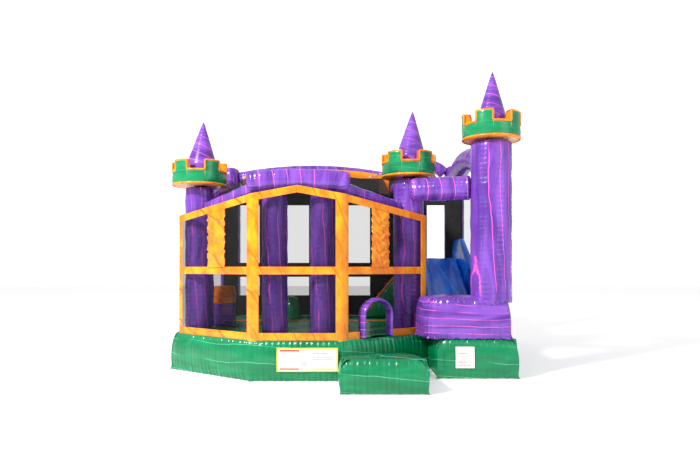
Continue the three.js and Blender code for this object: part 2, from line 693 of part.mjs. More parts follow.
function rocker() {
  const lever = box(-6, 6, -16, 16, -10, 10);
  const pins = new THREE.CylinderGeometry(2.5, 2.5, 28, 10).rotateX(Math.PI / 2);
  return join([lever, pins]);
}

function blower() {
  const { x, y, axisZ, halfWidth, wall } = BLOWER;
  const group = new THREE.Group();
  group.position.set(x, y, 0);
  const innerSide = wall - halfWidth + GAP;
  const motor = join([
    airPortAlongX(innerSide, -50, 0, 0, 75),
    airPortAlongX(-55, 20, 0, 0, 8),
  ]);
  const motorMesh = piece('blower_motor', motor, metal(COLOURS.steel));
  const wheel = piece('blower_impeller', impeller(), plastic(COLOURS.black));
  motorMesh.position.z = axisZ;
  wheel.position.z = axisZ;
  const toggle = piece('blower_switch', rocker(), plastic(COLOURS.black));
  toggle.position.set(SWITCH.x, SWITCH.y, SWITCH.z);
  toggle.rotation.z = -THREE.MathUtils.degToRad(SWITCH.tilt);
  group.add(piece('blower_housing', blowerHousing(), plastic(COLOURS.yellow)), motorMesh, wheel, toggle);
  return group;
}

function inflationSleeve() {
  const { outer, inner, start, end } = SLEEVE;
  const ring = ringAlongX(outer, inner, 0, end - start).rotateZ(Math.PI / 2).translate(BLOWER.x, start, AIR_Z);
  return piece('inflation_sleeve', weld(ring), vinyl(COLOURS.yellow));
}

// ---------- The whole bounce house ----------

const house = new THREE.Group();
house.add(
  base(),
  tower('left'), tower('middle'), tower('right'),
  columnsAndBeams(),
  bayWalls(),
  entranceArch(),
  otherWalls(),
  roofNet(),
  slideAndPlay(),
  labels(),
  tieRope(),
  anchor('left'), anchor('right'),
  deflationZip(),
  inflationSleeve(),
  blower(),
);

export default house;
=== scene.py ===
"""Looks of the castle bounce house: inflated vinyl chambers, netting, straps, slide and blower.

Metres, +Z up, front towards -Y, in the CAD frame.
"""
import math

import bmesh
import bpy
import numpy as np
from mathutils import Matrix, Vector


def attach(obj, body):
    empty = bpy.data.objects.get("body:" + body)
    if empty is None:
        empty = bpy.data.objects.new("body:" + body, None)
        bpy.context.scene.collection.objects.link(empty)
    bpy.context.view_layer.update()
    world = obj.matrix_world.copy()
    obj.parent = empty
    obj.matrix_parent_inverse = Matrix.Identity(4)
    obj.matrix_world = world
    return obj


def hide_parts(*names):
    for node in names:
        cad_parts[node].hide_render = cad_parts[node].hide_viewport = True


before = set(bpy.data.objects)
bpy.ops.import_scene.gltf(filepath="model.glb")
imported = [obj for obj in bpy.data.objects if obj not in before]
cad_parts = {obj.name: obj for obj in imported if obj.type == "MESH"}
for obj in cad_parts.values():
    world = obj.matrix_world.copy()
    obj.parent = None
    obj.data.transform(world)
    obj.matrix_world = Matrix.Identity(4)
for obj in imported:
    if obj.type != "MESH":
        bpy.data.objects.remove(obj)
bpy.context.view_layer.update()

# ---------- Driving dimensions ----------

TURN = 2 * math.pi
HOUSE = "house"
BASE_HEIGHT = 0.55
DECK = 0.552
SWELL = 0.028  # how far an inflated wall bulges past the line of its plan, except at the back
CORNER_ROUNDING = 0.03  # how far a wall draws in at the corners of its plan
PUCKER_PITCH = 0.075  # spacing of the puckers along a wall's seams
TUBE_PITCH = 0.06  # spacing of the puckers on columns and beams
TUBE_COLUMNS = 72  # points around a column or beam
STRAP_PROUD = 0.014  # how far a strap stands out from the plane of its wall
SEAM_INSETS = (0.055, 0.07)  # how far the ground seam and the top seam of the base stand in from its swell
BOUNCE_OUTLINE = [(-2.48, -1.48), (-1.18, -2.47), (0.08, -2.47), (1.32, -1.5), (1.32, 2.24), (-2.48, 2.24)]
SLIDE_OUTLINE = [(1.324, -2.28), (2.42, -2.28), (2.42, 2.24), (1.324, 2.24)]
STEP_OUTLINE = [(0.03, -3.33), (1.08, -3.33), (1.08, -1.702), (0.03, -2.523)]
END_WALL_OUTLINE = [
    (1.1, -1.68), (1.22, -2.2), (1.3, -2.262), (2.29, -2.262), (2.33, -2.22), (2.33, -1.6), (1.29, -1.56)]
CHANNEL_PITCH = 0.235  # sewn channels of the bouncing floor
FLOOR_INSET = 0.17
FLOOR_STRIPE = (0.58, 0.76)  # the one orange channel of the floor

BAY = {
    "left": ((-2.37, -1.45), (-1.15, -2.4)),
    "front": ((-1.15, -2.4), (0.05, -2.4)),
    "right": ((0.05, -2.4), (1.27, -1.45)),
}
SIDE_LENGTH = math.dist(*BAY["left"])
FRONT_LENGTH = 1.2
NET_SIDE, NET_CORNER, NET_PEAK = 2.27, 2.49, 2.6
BAND_BOTTOM, BAND_MIDDLE, TOP_DEPTH = 0.635, (1.41, 1.515), 0.1
DOOR = (0.298, 0.872)
DOOR_SPRING, DOOR_TOP, DOOR_TUBE, DOOR_DEPTH = 0.85, 1.098, 0.04, 0.075

TOWERS = {
    "left": dict(x=-2.12, y=-1.28, radius=0.21, foot=DECK, crown=2.72, apex=3.7, phase=6),
    "middle": dict(x=1.035, y=-1.28, radius=0.23, foot=DECK, crown=2.85, apex=3.86, phase=-1),
    "right": dict(x=2.12, y=-1.98, radius=0.285, foot=1.092, crown=3.265, apex=4.235, phase=10),
}
CROWN_RADIUS, CROWN_HEIGHT, CROWN_INNER, CROWN_WELL = 0.4, 0.365, 0.285, 0.19
NOTCH_DEPTH, NOTCH_HALF, NOTCH_STEP = 0.15, 19, 72
CONE_RADIUS, CONE_TIP = 0.2, 0.022
CONE_SPREAD, CONE_LEAN = 1.12, 0.06  # the two lower cones are plumper, and all lean a little to the right
FOOT_SUNK = 0.09  # how deep a tower's foot presses into the chamber below it

REAR_Y = 1.95
REAR_COLUMNS = {"left": (-2.28, 0.2, 3.54), "middle": (1.05, 0.2, 3.5), "right": (2.27, 0.2, 3.58)}
BACK_WALL_Y = 1.745
WINDOW_COLUMNS = [(-2.1, -1.66), (-1.156, -0.671), (0.11, 0.55), (1.69, 2.05)]
WINDOW_ROWS = [(0.95, 1.32), (1.6, 2.75)]
FRONT_COLUMNS = {"left": -0.88, "right": -0.22}
FRONT_COLUMN_Y, FRONT_COLUMN_RADIUS, FRONT_COLUMN_TOP = -2.14, 0.176, 2.56

SLIDE_LEFT, SLIDE_RIGHT, SLIDE_TOP, SLIDE_FOOT = 1.51, 2.175, 1.7, 0.7
SLIDE_CREST_Y, SLIDE_FOOT_Y, SLIDE_FRONT_Y, PLATFORM_BACK, WALL_RISE = 1.05, -0.9, -1.545, 1.74, 0.35
RAMP_RUN, RAMP_HEIGHTS = (0.37, 1.284), (0.57, 1.688)

BLOWER_X, AIR_Z = -1.2, 0.33
SLEEVE_START, SLEEVE_END, SLEEVE_RADIUS = 2.241, 2.882, 0.126

ROPE_POINTS = [
    (0.44, -0.76, 2.94), (0.6, -0.7, 3.0), (0.76, -0.6, 3.05), (0.93, -0.49, 3.01), (1.04, -0.43, 2.925)]
ROPE_LENGTH, ROPE_RADIUS = 0.72, 0.0086

SKY_LIGHT, SKY_SEEN = 0.72, 1.45  # strength of the sky as a light, and as it is seen


# ---------- Camera, floor and light ----------


def add_camera():
    data = bpy.data.cameras.new("camera")
    data.lens = 31.58
    data.sensor_width = 36
    data.shift_y = 0.049
    camera = bpy.data.objects.new("camera", data)
    camera.location = (0.15, -10.55, 1.5)
    camera.rotation_euler = (math.pi / 2, 0, 0)
    bpy.context.scene.collection.objects.link(camera)
    bpy.context.scene.camera = camera


def add_light(name, place, target, size, power, colour=(1, 1, 1)):
    data = bpy.data.lights.new(name, "AREA")
    data.size = size
    data.energy = power
    data.color = colour
    light = bpy.data.objects.new(name, data)
    light.location = place
    light.rotation_euler = (Vector(target) - Vector(place)).to_track_quat("-Z", "Y").to_euler()
    bpy.context.scene.collection.objects.link(light)


def add_studio():
    world = bpy.data.worlds.new("studio")
    world.use_nodes = True
    sky = world.node_tree.nodes["Background"]
    sky.inputs["Color"].default_value = (1, 1, 1, 1)
    rays = world.node_tree.nodes.new("ShaderNodeLightPath")
    strength = world.node_tree.nodes.new("ShaderNodeMapRange")
    strength.inputs["To Min"].default_value = SKY_LIGHT
    strength.inputs["To Max"].default_value = SKY_SEEN
    world.node_tree.links.new(rays.outputs["Is Camera Ray"], strength.inputs["Value"])
    world.node_tree.links.new(strength.outputs["Result"], sky.inputs["Strength"])
    bpy.context.scene.world = world
    bpy.context.scene.view_settings.view_transform = "Standard"
    add_light("key", (-7.5, -9.5, 9.5), (-0.2, -0.5, 1.3), 1.4, 2300, (1, 0.97, 0.92))
    add_light("fill", (8, -9, 5), (0.4, 0, 1.2), 5, 120)
    bpy.ops.mesh.primitive_plane_add(size=80, location=(0, 0, -0.001))
    floor = bpy.context.object
    floor.name = "floor"
    finish = Nodes("floor_pale")
    finish.set(**{"Base Color": (0.92, 0.92, 0.92, 1), "Roughness": 0.9,
                  "Emission Color": (1, 1, 1, 1), "Emission Strength": 0.3})
    floor.data.materials.append(finish.material)


# ---------- Materials ----------


class Nodes:
    """A small node material. Inputs are numbers, colours or other nodes' outputs."""

    def __init__(self, name):
        self.material = bpy.data.materials.new(name)
        self.material.use_nodes = True
        self.tree = self.material.node_tree
        self.shader = self.tree.nodes["Principled BSDF"]
        self.place = self.add("ShaderNodeTexCoord").outputs["Object"]

    def fill(self, node, inputs):
        for key, value in inputs.items():
            socket = node.inputs[key]
            if isinstance(value, bpy.types.NodeSocket):
                self.tree.links.new(value, socket)
            else:
                socket.default_value = value

    def add(self, kind, inputs=None, **settings):
        node = self.tree.nodes.new(kind)
        for key, value in settings.items():
            setattr(node, key, value)
        self.fill(node, inputs or {})
        return node

    def set(self, **inputs):
        self.fill(self.shader, inputs)

    def noise(self, place, scale, detail=3, distortion=0.0):
        inputs = {"Vector": place, "Scale": scale, "Detail": detail, "Distortion": distortion}
        return self.add("ShaderNodeTexNoise", inputs).outputs["Fac"]

    def vector(self, operation, inputs):
        return self.add("ShaderNodeVectorMath", inputs, operation=operation).outputs[0]

    def maths(self, operation, *values):
        return self.add("ShaderNodeMath", dict(enumerate(values)), operation=operation).outputs[0]

    def stretched(self, place, amount):
        return self.vector("MULTIPLY", {0: place, 1: amount})

    def swayed(self, place, scale, amount):
        sway = self.add("ShaderNodeTexNoise", {"Vector": place, "Scale": scale, "Detail": 2})
        centred = self.vector("SUBTRACT", {0: sway.outputs["Color"], 1: (0.5, 0.5, 0.5)})
        moved = self.vector("SCALE", {0: centred, "Scale": amount})
        return self.vector("ADD", {0: place, 1: moved})

    def ranged(self, value, low, high, to_low=0.0, to_high=1.0):
        inputs = {"Value": value, 1: low, 2: high, 3: to_low, 4: to_high}
        return self.add("ShaderNodeMapRange", inputs, interpolation_type="SMOOTHSTEP").outputs[0]

    def mixed(self, share, a, b):
        node = self.add("ShaderNodeMix", {0: share}, data_type="RGBA")
        self.fill(node, {6: a, 7: b})
        return node.outputs[2]

    def bump(self, height, strength, distance, below=None):
        inputs = {"Height": height, "Strength": strength, "Distance": distance}
        if below is not None:
            inputs["Normal"] = below
        return self.add("ShaderNodeBump", inputs).outputs["Normal"]


def rgb(red, green, blue):
    """A screen colour of 0 to 255 numbers, as the linear colour that shaders take."""
    return tuple(((c / 255 + 0.055) / 1.055) ** 2.4 for c in (red, green, blue)) + (1,)


def marble_vinyl(name, dark, light, vein, across, width, cloud, rough=0.2, print_share=0.12, gloss=0.42):
    """Glossy coated vinyl, printed with thin wandering veins over a softly mottled ground.

    across is the direction that the veins are spaced along, with their number for each metre.
    """
    n = Nodes(name)
    wander = n.swayed(n.swayed(n.place, 0.8, 0.16), 3.5, 0.03)
    phase = n.add("ShaderNodeVectorMath", {0: wander, 1: across}, operation="DOT_PRODUCT").outputs["Value"]
    gap = n.maths("ABSOLUTE", n.maths("SUBTRACT", n.maths("FRACT", phase), 0.5))
    line = n.ranged(gap, width * 0.3, width, 1, 0)
    fade = n.ranged(n.noise(n.place, 1.7, 2), 0.36, 0.52, 0.1, 0.9)
    cloudy = n.stretched(wander, cloud)
    ground = n.mixed(n.ranged(n.noise(cloudy, 1.6, 4, 0.8), 0.3, 0.7), dark, light)
    streaks = n.ranged(n.noise(cloudy, 4, 4, 1.5), 0.52, 0.8, 0, print_share)
    crinkle = n.noise(n.place, 9, 4, 0.4)
    weave = n.noise(n.place, 480, 1)
    n.set(**{
        "Base Color": n.mixed(n.maths("MULTIPLY", line, fade), n.mixed(streaks, ground, vein), vein),
        "Roughness": n.ranged(n.noise(n.place, 6, 4), 0.3, 0.7, rough - 0.05, rough + 0.12),
        "Normal": n.bump(weave, 0.1, 0.0006, n.bump(crinkle, 0.2, 0.012)),
        "Coat Weight": gloss * 0.45,
        "Coat Roughness": 0.1,
        "Specular IOR Level": gloss,
    })
    return n.material


def netting(name, colour, alpha):
    n = Nodes(name)
    across = n.add("ShaderNodeTexWave", {"Vector": n.place, "Scale": 260}, bands_direction="DIAGONAL")
    tint = n.mixed(n.noise(n.place, 2.4), colour, tuple(c * 1.5 for c in colour[:3]) + (1,))
    n.set(**{
        "Base Color": tint,
        "Roughness": 0.85,
        "Specular IOR Level": 0.2,
        "Alpha": alpha,
        "Normal": n.bump(across.outputs["Fac"], 0.2, 0.0008),
    })
    return n.material


def woven(name, dark, light, rough=0.85, threads=300):
    n = Nodes(name)
    warp = n.add("ShaderNodeTexWave", {"Vector": n.place, "Scale": threads}, bands_direction="Z")
    weft = n.add("ShaderNodeTexWave", {"Vector": n.place, "Scale": threads}, bands_direction="X")
    weave = n.maths("MULTIPLY", warp.outputs["Fac"], weft.outputs["Fac"])
    folds = n.noise(n.stretched(n.place, (1, 1, 0.35)), 5, 4)
    n.set(**{
        "Base Color": n.mixed(n.ranged(folds, 0.3, 0.7), dark, light),
        "Roughness": n.ranged(n.noise(n.place, 9), 0.3, 0.7, rough - 0.1, rough + 0.05),
        "Normal": n.bump(weave, 0.25, 0.0008, n.bump(folds, 0.4, 0.02)),
        "Sheen Weight": 0.2,
    })
    return n.material


def moulded(name, dark, light, rough=0.42):
    n = Nodes(name)
    grain = n.noise(n.place, 320, 2)
    scuffs = n.ranged(n.noise(n.stretched(n.place, (1, 1, 3)), 30, 5, 1), 0.55, 0.75)
    n.set(**{
        "Base Color": n.mixed(n.noise(n.place, 6, 4), dark, light),
        "Roughness": n.ranged(scuffs, 0, 1, rough, rough + 0.22),
        "Normal": n.bump(grain, 0.25, 0.0008),
    })
    return n.material


def brushed_metal(name, dark, light, rough=0.3):
    n = Nodes(name)
    brush = n.noise(n.stretched(n.place, (8, 90, 90)), 8, 4)
    n.set(**{
        "Base Color": n.mixed(brush, dark, light),
        "Metallic": 1.0,
        "Roughness": n.ranged(brush, 0.3, 0.7, rough - 0.08, rough + 0.12),
        "Normal": n.bump(brush, 0.12, 0.0008),
    })
    return n.material


def printed(name, colour, spots):
    """Matt printed vinyl, slightly uneven in tone."""
    n = Nodes(name)
    n.set(**{
        "Base Color": n.mixed(n.ranged(n.noise(n.place, 14, 5), 0.35, 0.75), colour, spots),
        "Roughness": n.ranged(n.noise(n.place, 25), 0.3, 0.7, 0.4, 0.55),
        "Normal": n.bump(n.noise(n.place, 60, 3), 0.1, 0.001),
    })
    return n.material


PINK = rgb(236, 96, 196)
PURPLE_DARK, PURPLE_LIGHT = rgb(84, 42, 146), rgb(130, 76, 194)
ORANGE, YELLOW = rgb(228, 116, 0), rgb(246, 160, 6)
EMBER = rgb(216, 84, 0)


def purple(name, across, cloud, width=0.045, gloss=0.42):
    return marble_vinyl(name, PURPLE_DARK, PURPLE_LIGHT, PINK, across, width, cloud, gloss=gloss)


MATERIALS = {
    "purple_upright": purple("purple_upright", (6.5, 3.4, 0.3), (4, 4, 0.6), 0.05),
    "purple_ringed": purple("purple_ringed", (5.5, 0.6, 0.3), (4, 0.8, 0.8)),
    "purple_deep": purple("purple_deep", (0.6, 4.2, 0.3), (0.8, 4, 0.8), gloss=0.12),
    "purple_level": purple("purple_level", (0.3, 0.5, 10), (0.8, 0.8, 5), 0.07),
    "purple_cone": purple("purple_cone", (3, 0.5, 7), (1, 1, 6), 0.04),
    "green_base": marble_vinyl("green_base", rgb(0, 112, 70), rgb(0, 134, 86), rgb(90, 200, 150),
                               (0.3, 0.5, 4.5), 0.02, (0.8, 0.8, 4), 0.2, 0.05, 0.32),
    "green_crown": marble_vinyl("green_crown", rgb(0, 118, 72), rgb(0, 140, 88), rgb(40, 170, 115),
                                (0.5, 0.5, 6), 0.03, (1, 1, 4), 0.18, 0.05),
    "amber": marble_vinyl("amber", ORANGE, YELLOW, EMBER, (4, 3, 2), 0.05, (3, 3, 2.2), 0.22, 0.35),
    "ember": marble_vinyl("ember", rgb(226, 90, 0), rgb(246, 140, 0), rgb(190, 60, 0),
                          (4, 4, 4), 0.05, (3, 3, 3), 0.24, 0.3),
    "blue_slide": marble_vinyl("blue_slide", rgb(0, 84, 200), rgb(0, 128, 238), rgb(40, 170, 250),
                               (3, 0.4, 0.6), 0.04, (3, 0.6, 0.8), 0.18, 0.06),
    "net": netting("net", rgb(10, 10, 11), 0.42),
    "net_roof": netting("net_roof", rgb(12, 12, 13), 0.85),
    "net_window": netting("net_window", rgb(60, 60, 58), 0.12),
    "black_cloth": woven("black_cloth", rgb(8, 8, 9), rgb(18, 18, 18)),
    "webbing": woven("webbing", rgb(22, 22, 24), rgb(44, 44, 48), 0.75, 700),
    "label_white": printed("label_white", rgb(240, 240, 236), rgb(226, 226, 222)),
    "label_yellow": printed("label_yellow", rgb(240, 222, 40), rgb(226, 200, 30)),
    "label_red": printed("label_red", rgb(206, 44, 40), rgb(180, 36, 36)),
    "label_grey": printed("label_grey", rgb(140, 140, 140), rgb(110, 110, 112)),
    "rope_blue": woven("rope_blue", rgb(30, 60, 150), rgb(60, 100, 190), 0.8, 900),
    "rope_white": woven("rope_white", rgb(214, 218, 226), rgb(238, 240, 244), 0.8, 900),
    "steel": brushed_metal("steel", rgb(168, 171, 176), rgb(206, 208, 212)),
    "motor": brushed_metal("motor", rgb(108, 112, 118), rgb(150, 154, 160), 0.42),
    "blower_shell": moulded("blower_shell", rgb(236, 168, 12), rgb(250, 190, 24)),
    "black_plastic": moulded("black_plastic", rgb(20, 20, 22), rgb(38, 38, 42), 0.48),
}


# ---------- Mesh helpers ----------


def ripples(distance, pitch, seed=0.0):
    """An uneven wave, about one crest for each pitch of distance, from -1 to 1."""
    turns = TURN * np.asarray(distance, float) / pitch
    return (0.55 * np.sin(turns + seed) + 0.3 * np.sin(turns * 1.618 + 2.3 * seed + 1)
            + 0.15 * np.sin(turns * 0.37 + 0.7 * seed))


def near(distance, reach):
    return np.exp(-np.abs(distance) / reach)


class Skin:
    """Gathers grids of points into one smooth mesh, with a material number for each face."""

    def __init__(self):
        self.points, self.faces, self.marks, self.count = [], [], [], 0

    def grid(self, points, closed=False, marks=0):
        rows, columns = points.shape[:2]
        last = columns if closed else columns - 1
        i, j = np.meshgrid(np.arange(rows - 1), np.arange(last), indexing="ij")
        k = (j + 1) % columns
        corners = [i * columns + j, i * columns + k, (i + 1) * columns + k, (i + 1) * columns + j]
        self.faces.append(self.count + np.stack(corners, -1).reshape(-1, 4))
        self.marks.append(np.broadcast_to(marks, (rows - 1, last)).reshape(-1))
        self.points.append(points.reshape(-1, 3))
        self.count += rows * columns

    def build(self, name, materials, replaced=(), weld=True):
        mesh = bpy.data.meshes.new(name)
        mesh.from_pydata(np.concatenate(self.points).tolist(), [], np.concatenate(self.faces).tolist())
        mesh.polygons.foreach_set("material_index", np.concatenate(self.marks).astype(np.int32))
        mesh.polygons.foreach_set("use_smooth", np.ones(len(mesh.polygons), bool))
        if weld:
            work = bmesh.new()
            work.from_mesh(mesh)
            bmesh.ops.remove_doubles(work, verts=work.verts, dist=2e-5)
            bmesh.ops.recalc_face_normals(work, faces=work.faces)
            work.to_mesh(mesh)
            work.free()
        for material in materials:
            mesh.materials.append(MATERIALS[material])
        piece = bpy.data.objects.new(name + "_skin" if replaced else name, mesh)
        bpy.context.scene.collection.objects.link(piece)
        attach(piece, HOUSE)
        if replaced:
            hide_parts(*replaced)
        return piece


def ring_path(path, radii, up=(0, 0, 1)):
    """Points of a tube round a path: radii has a row for each path point and a column for each angle."""
    path = np.asarray(path, float)
    along = np.gradient(path, axis=0)
    along /= np.linalg.norm(along, axis=1)[:, None]
    side = np.cross(along, np.broadcast_to(up, along.shape))
    side /= np.linalg.norm(side, axis=1)[:, None]
    rise = np.cross(side, along)
    angle = np.linspace(0, TURN, radii.shape[1], endpoint=False)
    return (path[:, None] + radii[..., None] * (np.cos(angle)[None, :, None] * side[:, None]
                                                + np.sin(angle)[None, :, None] * rise[:, None]))


def chamber(name, material, slot, *grids):
    """The skin of an air chamber, made of closed grids. It stands in for the CAD node of that name."""
    skin = Skin()
    for grid in grids:
        skin.grid(grid, closed=True)
    skin.build(name, [material], [name])


def rounded_end(distance, length, power=2.6):
    """The share of full width at a distance from a closed end that takes that length to fill out."""
    share = np.clip(1 - distance / length, 0, 1)
    return (1 - share ** power) ** (1 / power)


def inflated_tube(path, radius, seams, seed, up=(0, 0, 1), caps=(0.12, 0.12)):
    """A tube puckered at its two ends and along its lengthwise seams, closed at both ends."""
    path = np.asarray(path, float)
    steps = np.linalg.norm(np.diff(path, axis=0), axis=1)
    s = np.concatenate([[0], np.cumsum(steps)])
    total = s[-1]
    angle = np.linspace(0, TURN, TUBE_COLUMNS, endpoint=False)
    ends = np.minimum(rounded_end(s, caps[0]), rounded_end(total - s, caps[1]))
    radii = radius * ends[:, None] * np.ones(TUBE_COLUMNS)
    around = angle * radius
    for distance, sign in ((s, 1), (total - s, -1)):
        fall = near(distance - 0.05, 0.1)[:, None]
        radii -= 0.01 * fall * (0.55 + ripples(around, TUBE_PITCH, seed + sign)[None])
    for seam in seams:
        gap = np.abs((angle - seam + math.pi) % TURN - math.pi) * radius
        crease = near(gap, 0.012)[None] * 0.008
        tucks = near(gap, 0.06)[None] * 0.009 * (0.4 + ripples(s, TUBE_PITCH * 1.1, seed + seam)[:, None])
        radii -= crease + tucks
    radii -= 0.004 * ripples(s, 0.42, seed)[:, None] * (1 + 0.5 * np.cos(2 * angle + seed))[None]
    radii = np.clip(radii, 1e-5, radius * 1.02) * (ends[:, None] > 0)
    return ring_path(path, np.maximum(radii, 1e-6), up)


def arched_path(start, end, rise):
    """Points from start to end, lifted in the middle, closer together at both ends."""
    start, end = np.array(start, float), np.array(end, float)
    count = max(24, int(np.linalg.norm(end - start) / 0.018))
    share = np.linspace(0, 1, count)
    share = share - 0.09 * np.sin(TURN * share) / 1.4
    path = start + share[:, None] * (end - start)
    path[:, 2] += rise * 4 * share * (1 - share)
    return path


def convex_walk(outline, spacing):
    """Points along a closed outline with their outward directions and how near each one is to a corner."""
    corners = [np.array(p, float) for p in outline]
    points, normals, corner_gap, length = [], [], [], 0.0
    for a, b in zip(corners, corners[1:] + corners[:1]):
        edge = b - a
        run = np.linalg.norm(edge)
        count = max(6, int(run / spacing))
        outward = np.array([edge[1], -edge[0]]) / run
        share = np.linspace(0, 1, count, endpoint=False)
        points.append(a + share[:, None] * edge)
        normals.append(np.tile(outward, (count, 1)))
        corner_gap.append(np.minimum(share, 1 - share) * run)
        length += run
    points, normals = np.concatenate(points), np.concatenate(normals)
    before = np.roll(normals, 1, axis=0)
    turned = np.abs((before * normals).sum(1)) < 0.999
    mitre = normals.copy()
    mitre[turned] = (before + normals)[turned] / (1 + (before * normals).sum(1))[turned, None]
    return points, mitre, np.concatenate(corner_gap), length


def swelling(share, insets):
    """How far a side wall stands in from its widest line, from its ground seam at 0 to its top seam at 1."""
    swell = np.sqrt(1 - (2 * share - 1) ** 2)
    return (insets[0] + (insets[1] - insets[0]) * share) * (1 - swell)


def inflated_wall(outline, low, high, insets, seed, spacing=0.014, ear=0.05, tuck=0.016, tilt=(0, 0)):
    """The swelling side wall of a slab chamber, from its ground seam up to its top seam."""
    points, outward, gap, length = convex_walk(outline, spacing)
    s = np.linspace(0, length, len(points), endpoint=False)
    v = 0.5 - 0.5 * np.cos(np.linspace(0, math.pi, 30))
    height = high - low
    free = np.clip(1 - outward[:, 1], 0, 1)[None]
    push = SWELL * free - swelling(v, insets)[:, None]
    corner = np.exp(-(gap / 0.1) ** 2)[None]
    push -= CORNER_ROUNDING * corner * (0.3 + v[:, None])
    push += ear * np.exp(-gap / 0.035)[None] * near(v, 0.06)[:, None]
    reach = 0.08 * (1.2 + 0.9 * ripples(s, 0.17, seed))[None]
    from_seams = np.exp(-v[:, None] * height / reach) + np.exp(-(1 - v)[:, None] * height / reach)
    push -= tuck * from_seams * (0.35 + 0.95 * ripples(s, PUCKER_PITCH, seed + 3)[None])
    push += 0.006 * free * ripples(s, 0.63, seed)[None] * np.sin(math.pi * v)[:, None]
    z = low + v[:, None] * height + 0.007 * ripples(s, 0.42, seed + 5)[None] * np.sin(math.pi * v)[:, None]
    z += ((points - points.min(0)) @ np.array(tilt, float))[None] * v[:, None]
    z += 0.012 * (0.5 + 0.5 * ripples(s, 0.16, seed + 7))[None] * (1 - v)[:, None] ** 6
    plan = points[None] + push[..., None] * outward[None]
    return np.concatenate([plan, np.broadcast_to(z[..., None], (*plan.shape[:2], 1))], -1)


def domed_top(rim, crown, seed):
    """The top of a slab chamber, from its seam to its middle, crowned and puckered along the seam."""
    middle = rim[:, :2].mean(0)
    share = np.linspace(0, 1, 26)[:, None] ** 1.8
    radius = np.linalg.norm(rim[:, :2] - middle, axis=1)[None]
    plan = rim[None, :, :2] * (1 - share)[..., None] + middle * share[..., None]
    steps = np.linalg.norm(np.diff(rim[:, :2], axis=0, append=rim[:1, :2]), axis=1)
    s = np.cumsum(steps)[None]
    z = rim[None, :, 2] * (1 - share) + rim[:, 2].mean() * share
    z = z + crown * (1 - (1 - share) ** 2.4)
    fade = np.clip(share * radius / 0.02, 0, 1) * np.exp(-share * radius / 0.08)
    z = z - 0.012 * fade * (0.5 + 0.6 * ripples(s, PUCKER_PITCH, seed))
    return np.concatenate([plan, z[..., None]], -1)


def underside(rim):
    return np.stack([np.tile(rim.mean(0), (len(rim), 1)), rim])


def inflated_slab(name, outline, low, high, insets, seed, crown, material, slot, spacing=0.014, tuck=0.016,
                  tilt=(0, 0)):
    wall = inflated_wall(outline, low, high - crown, insets, seed, spacing, tuck=tuck, tilt=tilt)
    chamber(name, material, slot, wall, domed_top(wall[-1], crown, seed), underside(wall[0]))


def rounded_square(count, power):
    angle = np.linspace(0, TURN, count, endpoint=False)
    return (np.sign(side) * np.abs(side) ** (2 / power) for side in (np.cos(angle), np.sin(angle)))


def ridge(stations, side, low, high, seed, axis="y", power=5.0, grooves=0, cap=0.05):
    """A long chamber: at each station a rounded section from side[0] to side[1] and from low to high."""
    stations = np.asarray(stations, float)
    low, high = np.broadcast_to(low, stations.shape), np.broadcast_to(high, stations.shape)
    ends = np.minimum(stations - stations[0], stations[-1] - stations)
    fill = 1 - (1 - rounded_end(ends, cap)) * 0.35
    half_width = (side[1] - side[0]) / 2
    across, upward = rounded_square(72, power)
    seam = near(np.abs(np.abs(across) - 1), 0.1)[None] * near(np.abs(upward - 0.97), 0.35)[None]
    wrinkle = 0.012 * seam * (0.4 + ripples(stations, 0.08, seed)[:, None])
    channel = 0
    if grooves:
        on_top = (upward > 0.9)[None]
        channel = 0.022 * on_top * np.abs(np.cos(across * math.pi * grooves / 2))[None] ** 6
    half_height = (high - low)[:, None] / 2
    w = half_width * across[None] * fill[:, None] - np.sign(across)[None] * wrinkle
    z = (high + low)[:, None] / 2 + half_height * upward[None] * np.where(upward > 0, fill[:, None], 1)
    z = z - wrinkle * (upward > 0)[None] - channel
    long_way = np.broadcast_to(stations[:, None], w.shape)
    middle = (side[0] + side[1]) / 2
    order = (middle + w, long_way, z) if axis == "y" else (long_way, middle + w, z)
    body = np.stack(order, -1)
    first = np.broadcast_to(body[0].mean(0), body[0].shape)[None]
    last = np.broadcast_to(body[-1].mean(0), body[-1].shape)[None]
    return np.concatenate([first, body, last])


# ---------- Base ----------


def add_bounce_base():
    wall = inflated_wall(BOUNCE_OUTLINE, 0, BASE_HEIGHT - 0.012, SEAM_INSETS, 1.3)
    lip = wall[-1].copy()
    centre = lip[:, :2].mean(0)
    lip[:, :2] += (centre - lip[:, :2]) / np.linalg.norm(centre - lip[:, :2], axis=1)[:, None] * 0.12
    lip[:, 2] -= 0.02
    side = np.concatenate([wall, lip[None]])
    chamber("bounce_base", "green_base", "green_vinyl", side, underside(wall[0]))


